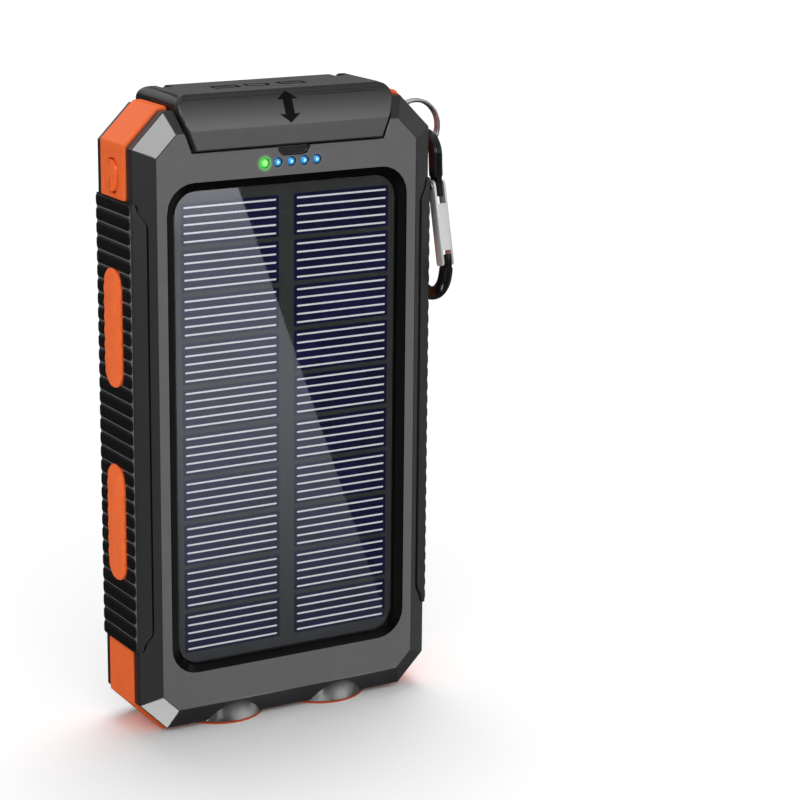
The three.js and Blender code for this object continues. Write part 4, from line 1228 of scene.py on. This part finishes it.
def area(name, loc, target, size, radiance, size_y=None, spin=0.0, diffuse=True, glossy=True):
    """A soft box given by its radiance."""
    d = bpy.data.lights.new(name, "AREA")
    d.shape = "RECTANGLE"
    d.size, d.size_y = size, size_y or size
    d.energy = 4.0 * d.size * d.size_y * radiance
    o = bpy.data.objects.new(name, d)
    scene.collection.objects.link(o)
    o.location = loc
    o.rotation_euler = ((Vector(target) - Vector(loc)).to_track_quat("-Z", "Y") @ Vector((0, 0, 1)).rotation_difference(Vector((0, 0, 1)))).to_euler()
    if spin:
        o.rotation_euler = ((Vector(target) - Vector(loc)).to_track_quat("-Z", "Y").to_matrix() @ Matrix.Rotation(spin, 3, "Z")).to_euler()
    o.visible_camera = False
    o.visible_diffuse = diffuse
    o.visible_glossy = glossy
    return o


MID = Vector((0, -0.010, 0.070))


def card(name, direction, half_w, half_h, radiance, dist=0.9, at=MID):
    """A softbox seen only in reflections, standing in one direction from the object."""
    d = Vector(direction).normalized()
    return area(name, at + d * dist, at, 2 * dist * math.tan(rad(half_w)), radiance, 2 * dist * math.tan(rad(half_h)), diffuse=False)


def sun(name, direction, strength, angle):
    """Very wide, soft light from one side, even over the whole floor."""
    d = bpy.data.lights.new(name, "SUN")
    d.energy = strength
    d.angle = rad(angle)
    o = bpy.data.objects.new(name, d)
    scene.collection.objects.link(o)
    o.rotation_euler = (-Vector(direction)).to_track_quat("-Z", "Y").to_euler()
    o.visible_glossy = False
    return o


sun("overhead", (0.20, 0.30, 1.0), 1.42, 34)
sun("front_fill", (-0.42, -0.85, 0.62), 0.95, 60)
card("corner_high", (-0.238, -0.836, 0.494), 14, 13, 15.0, dist=0.08, at=Vector((-0.032, -0.010, 0.135)))
card("corner_low", (-0.10, -0.47, -0.875), 14, 14, 14.0, dist=0.08, at=Vector((-0.032, -0.010, 0.004)))
for n, sx in (("left", -0.0132), ("right", 0.0132)):
    card(f"bulge_low_{n}", (0.50, -0.68, -0.50), 18, 13, 4.6, dist=0.03, at=Vector((sx, -0.0107, 0.002)))
card("hook_high", (-0.15, -0.90, 0.40), 9, 12, 5.0, dist=0.10, at=Vector((0.0414, 0.0, 0.123)))
card("left_dim", (-0.502, -0.822, -0.27), 14, 26, 0.35)
card("right_dim", (0.965, -0.06, -0.256), 14, 26, 0.30)
card("right_high", (0.924, -0.269, 0.271), 14, 12, 0.7)
card("cover_front", (0.50, -0.80, 0.22), 16, 6, 1.5, at=Vector((0, -0.011, 0.136)))
card("back_left", (-0.35, 0.80, 0.48), 26, 14, 0.6)

# the softbox that the glazing mirrors: its straight edge runs down across the panel,
# and it is brightest at the top
PY = -0.0100
mirror_eye = Vector((eye.x, 2 * PY - eye.y, eye.z))


def on_panel(px, pz):
    """The point where the reflected sight line through a panel point meets the softbox."""
    p = Vector((px * MM, PY, pz * MM))
    return mirror_eye + (p - mirror_eye).normalized() * ((p - mirror_eye).length + 0.55)


edge_x = lambda z: -12.1 + (122.35 - z) / 81.9 * 29.9
gl = bmesh.new()
rows = []
lay = gl.loops.layers.uv.new("run")
zt = [126 - 4 * i for i in range(30)]
for z in zt:
    rows.append([gl.verts.new(on_panel(x, z)) for x in (-34.0, edge_x(z))])
for i in range(len(zt) - 1):
    f = gl.faces.new((rows[i][0], rows[i][1], rows[i + 1][1], rows[i + 1][0]))
    for lp, q in zip(f.loops, (i, i, i + 1, i + 1)):
        lp[lay].uv = (0.5, q / (len(zt) - 1))
me = bpy.data.meshes.new("softbox")
gl.to_mesh(me)
gl.free()
sb = bpy.data.materials.new("softbox")
sb.use_nodes = True
nt = sb.node_tree
nt.nodes.remove(nt.nodes["Principled BSDF"])
em = nt.nodes.new("ShaderNodeEmission")
uvn = nt.nodes.new("ShaderNodeUVMap")
uvn.uv_map = "run"
sx = nt.nodes.new("ShaderNodeSeparateXYZ")
rp = nt.nodes.new("ShaderNodeValToRGB")
els = rp.color_ramp.elements
els[0].position, els[0].color = 0.0, (0.5, 0.5, 0.52, 1)
els[1].position, els[1].color = 1.0, (0.02, 0.02, 0.025, 1)
for p, v in ((0.05, 0.36), (0.12, 0.20), (0.44, 0.19), (0.62, 0.13), (0.82, 0.06)):
    e = els.new(p)
    e.color = (v * 0.96, v * 0.98, v * 1.12, 1)
nt.links.new(uvn.outputs["UV"], sx.inputs["Vector"])
nt.links.new(sx.outputs["Y"], rp.inputs["Fac"])
nt.links.new(rp.outputs["Color"], em.inputs["Color"])
em.inputs["Strength"].default_value = 6.2
nt.links.new(em.outputs["Emission"], nt.nodes["Material Output"].inputs["Surface"])
me.materials.append(sb)
soft = bpy.data.objects.new("softbox", me)
scene.collection.objects.link(soft)
for ray in ("camera", "diffuse", "transmission", "volume_scatter", "shadow"):
    setattr(soft, "visible_" + ray, False)

scene.view_settings.view_transform = "Standard"
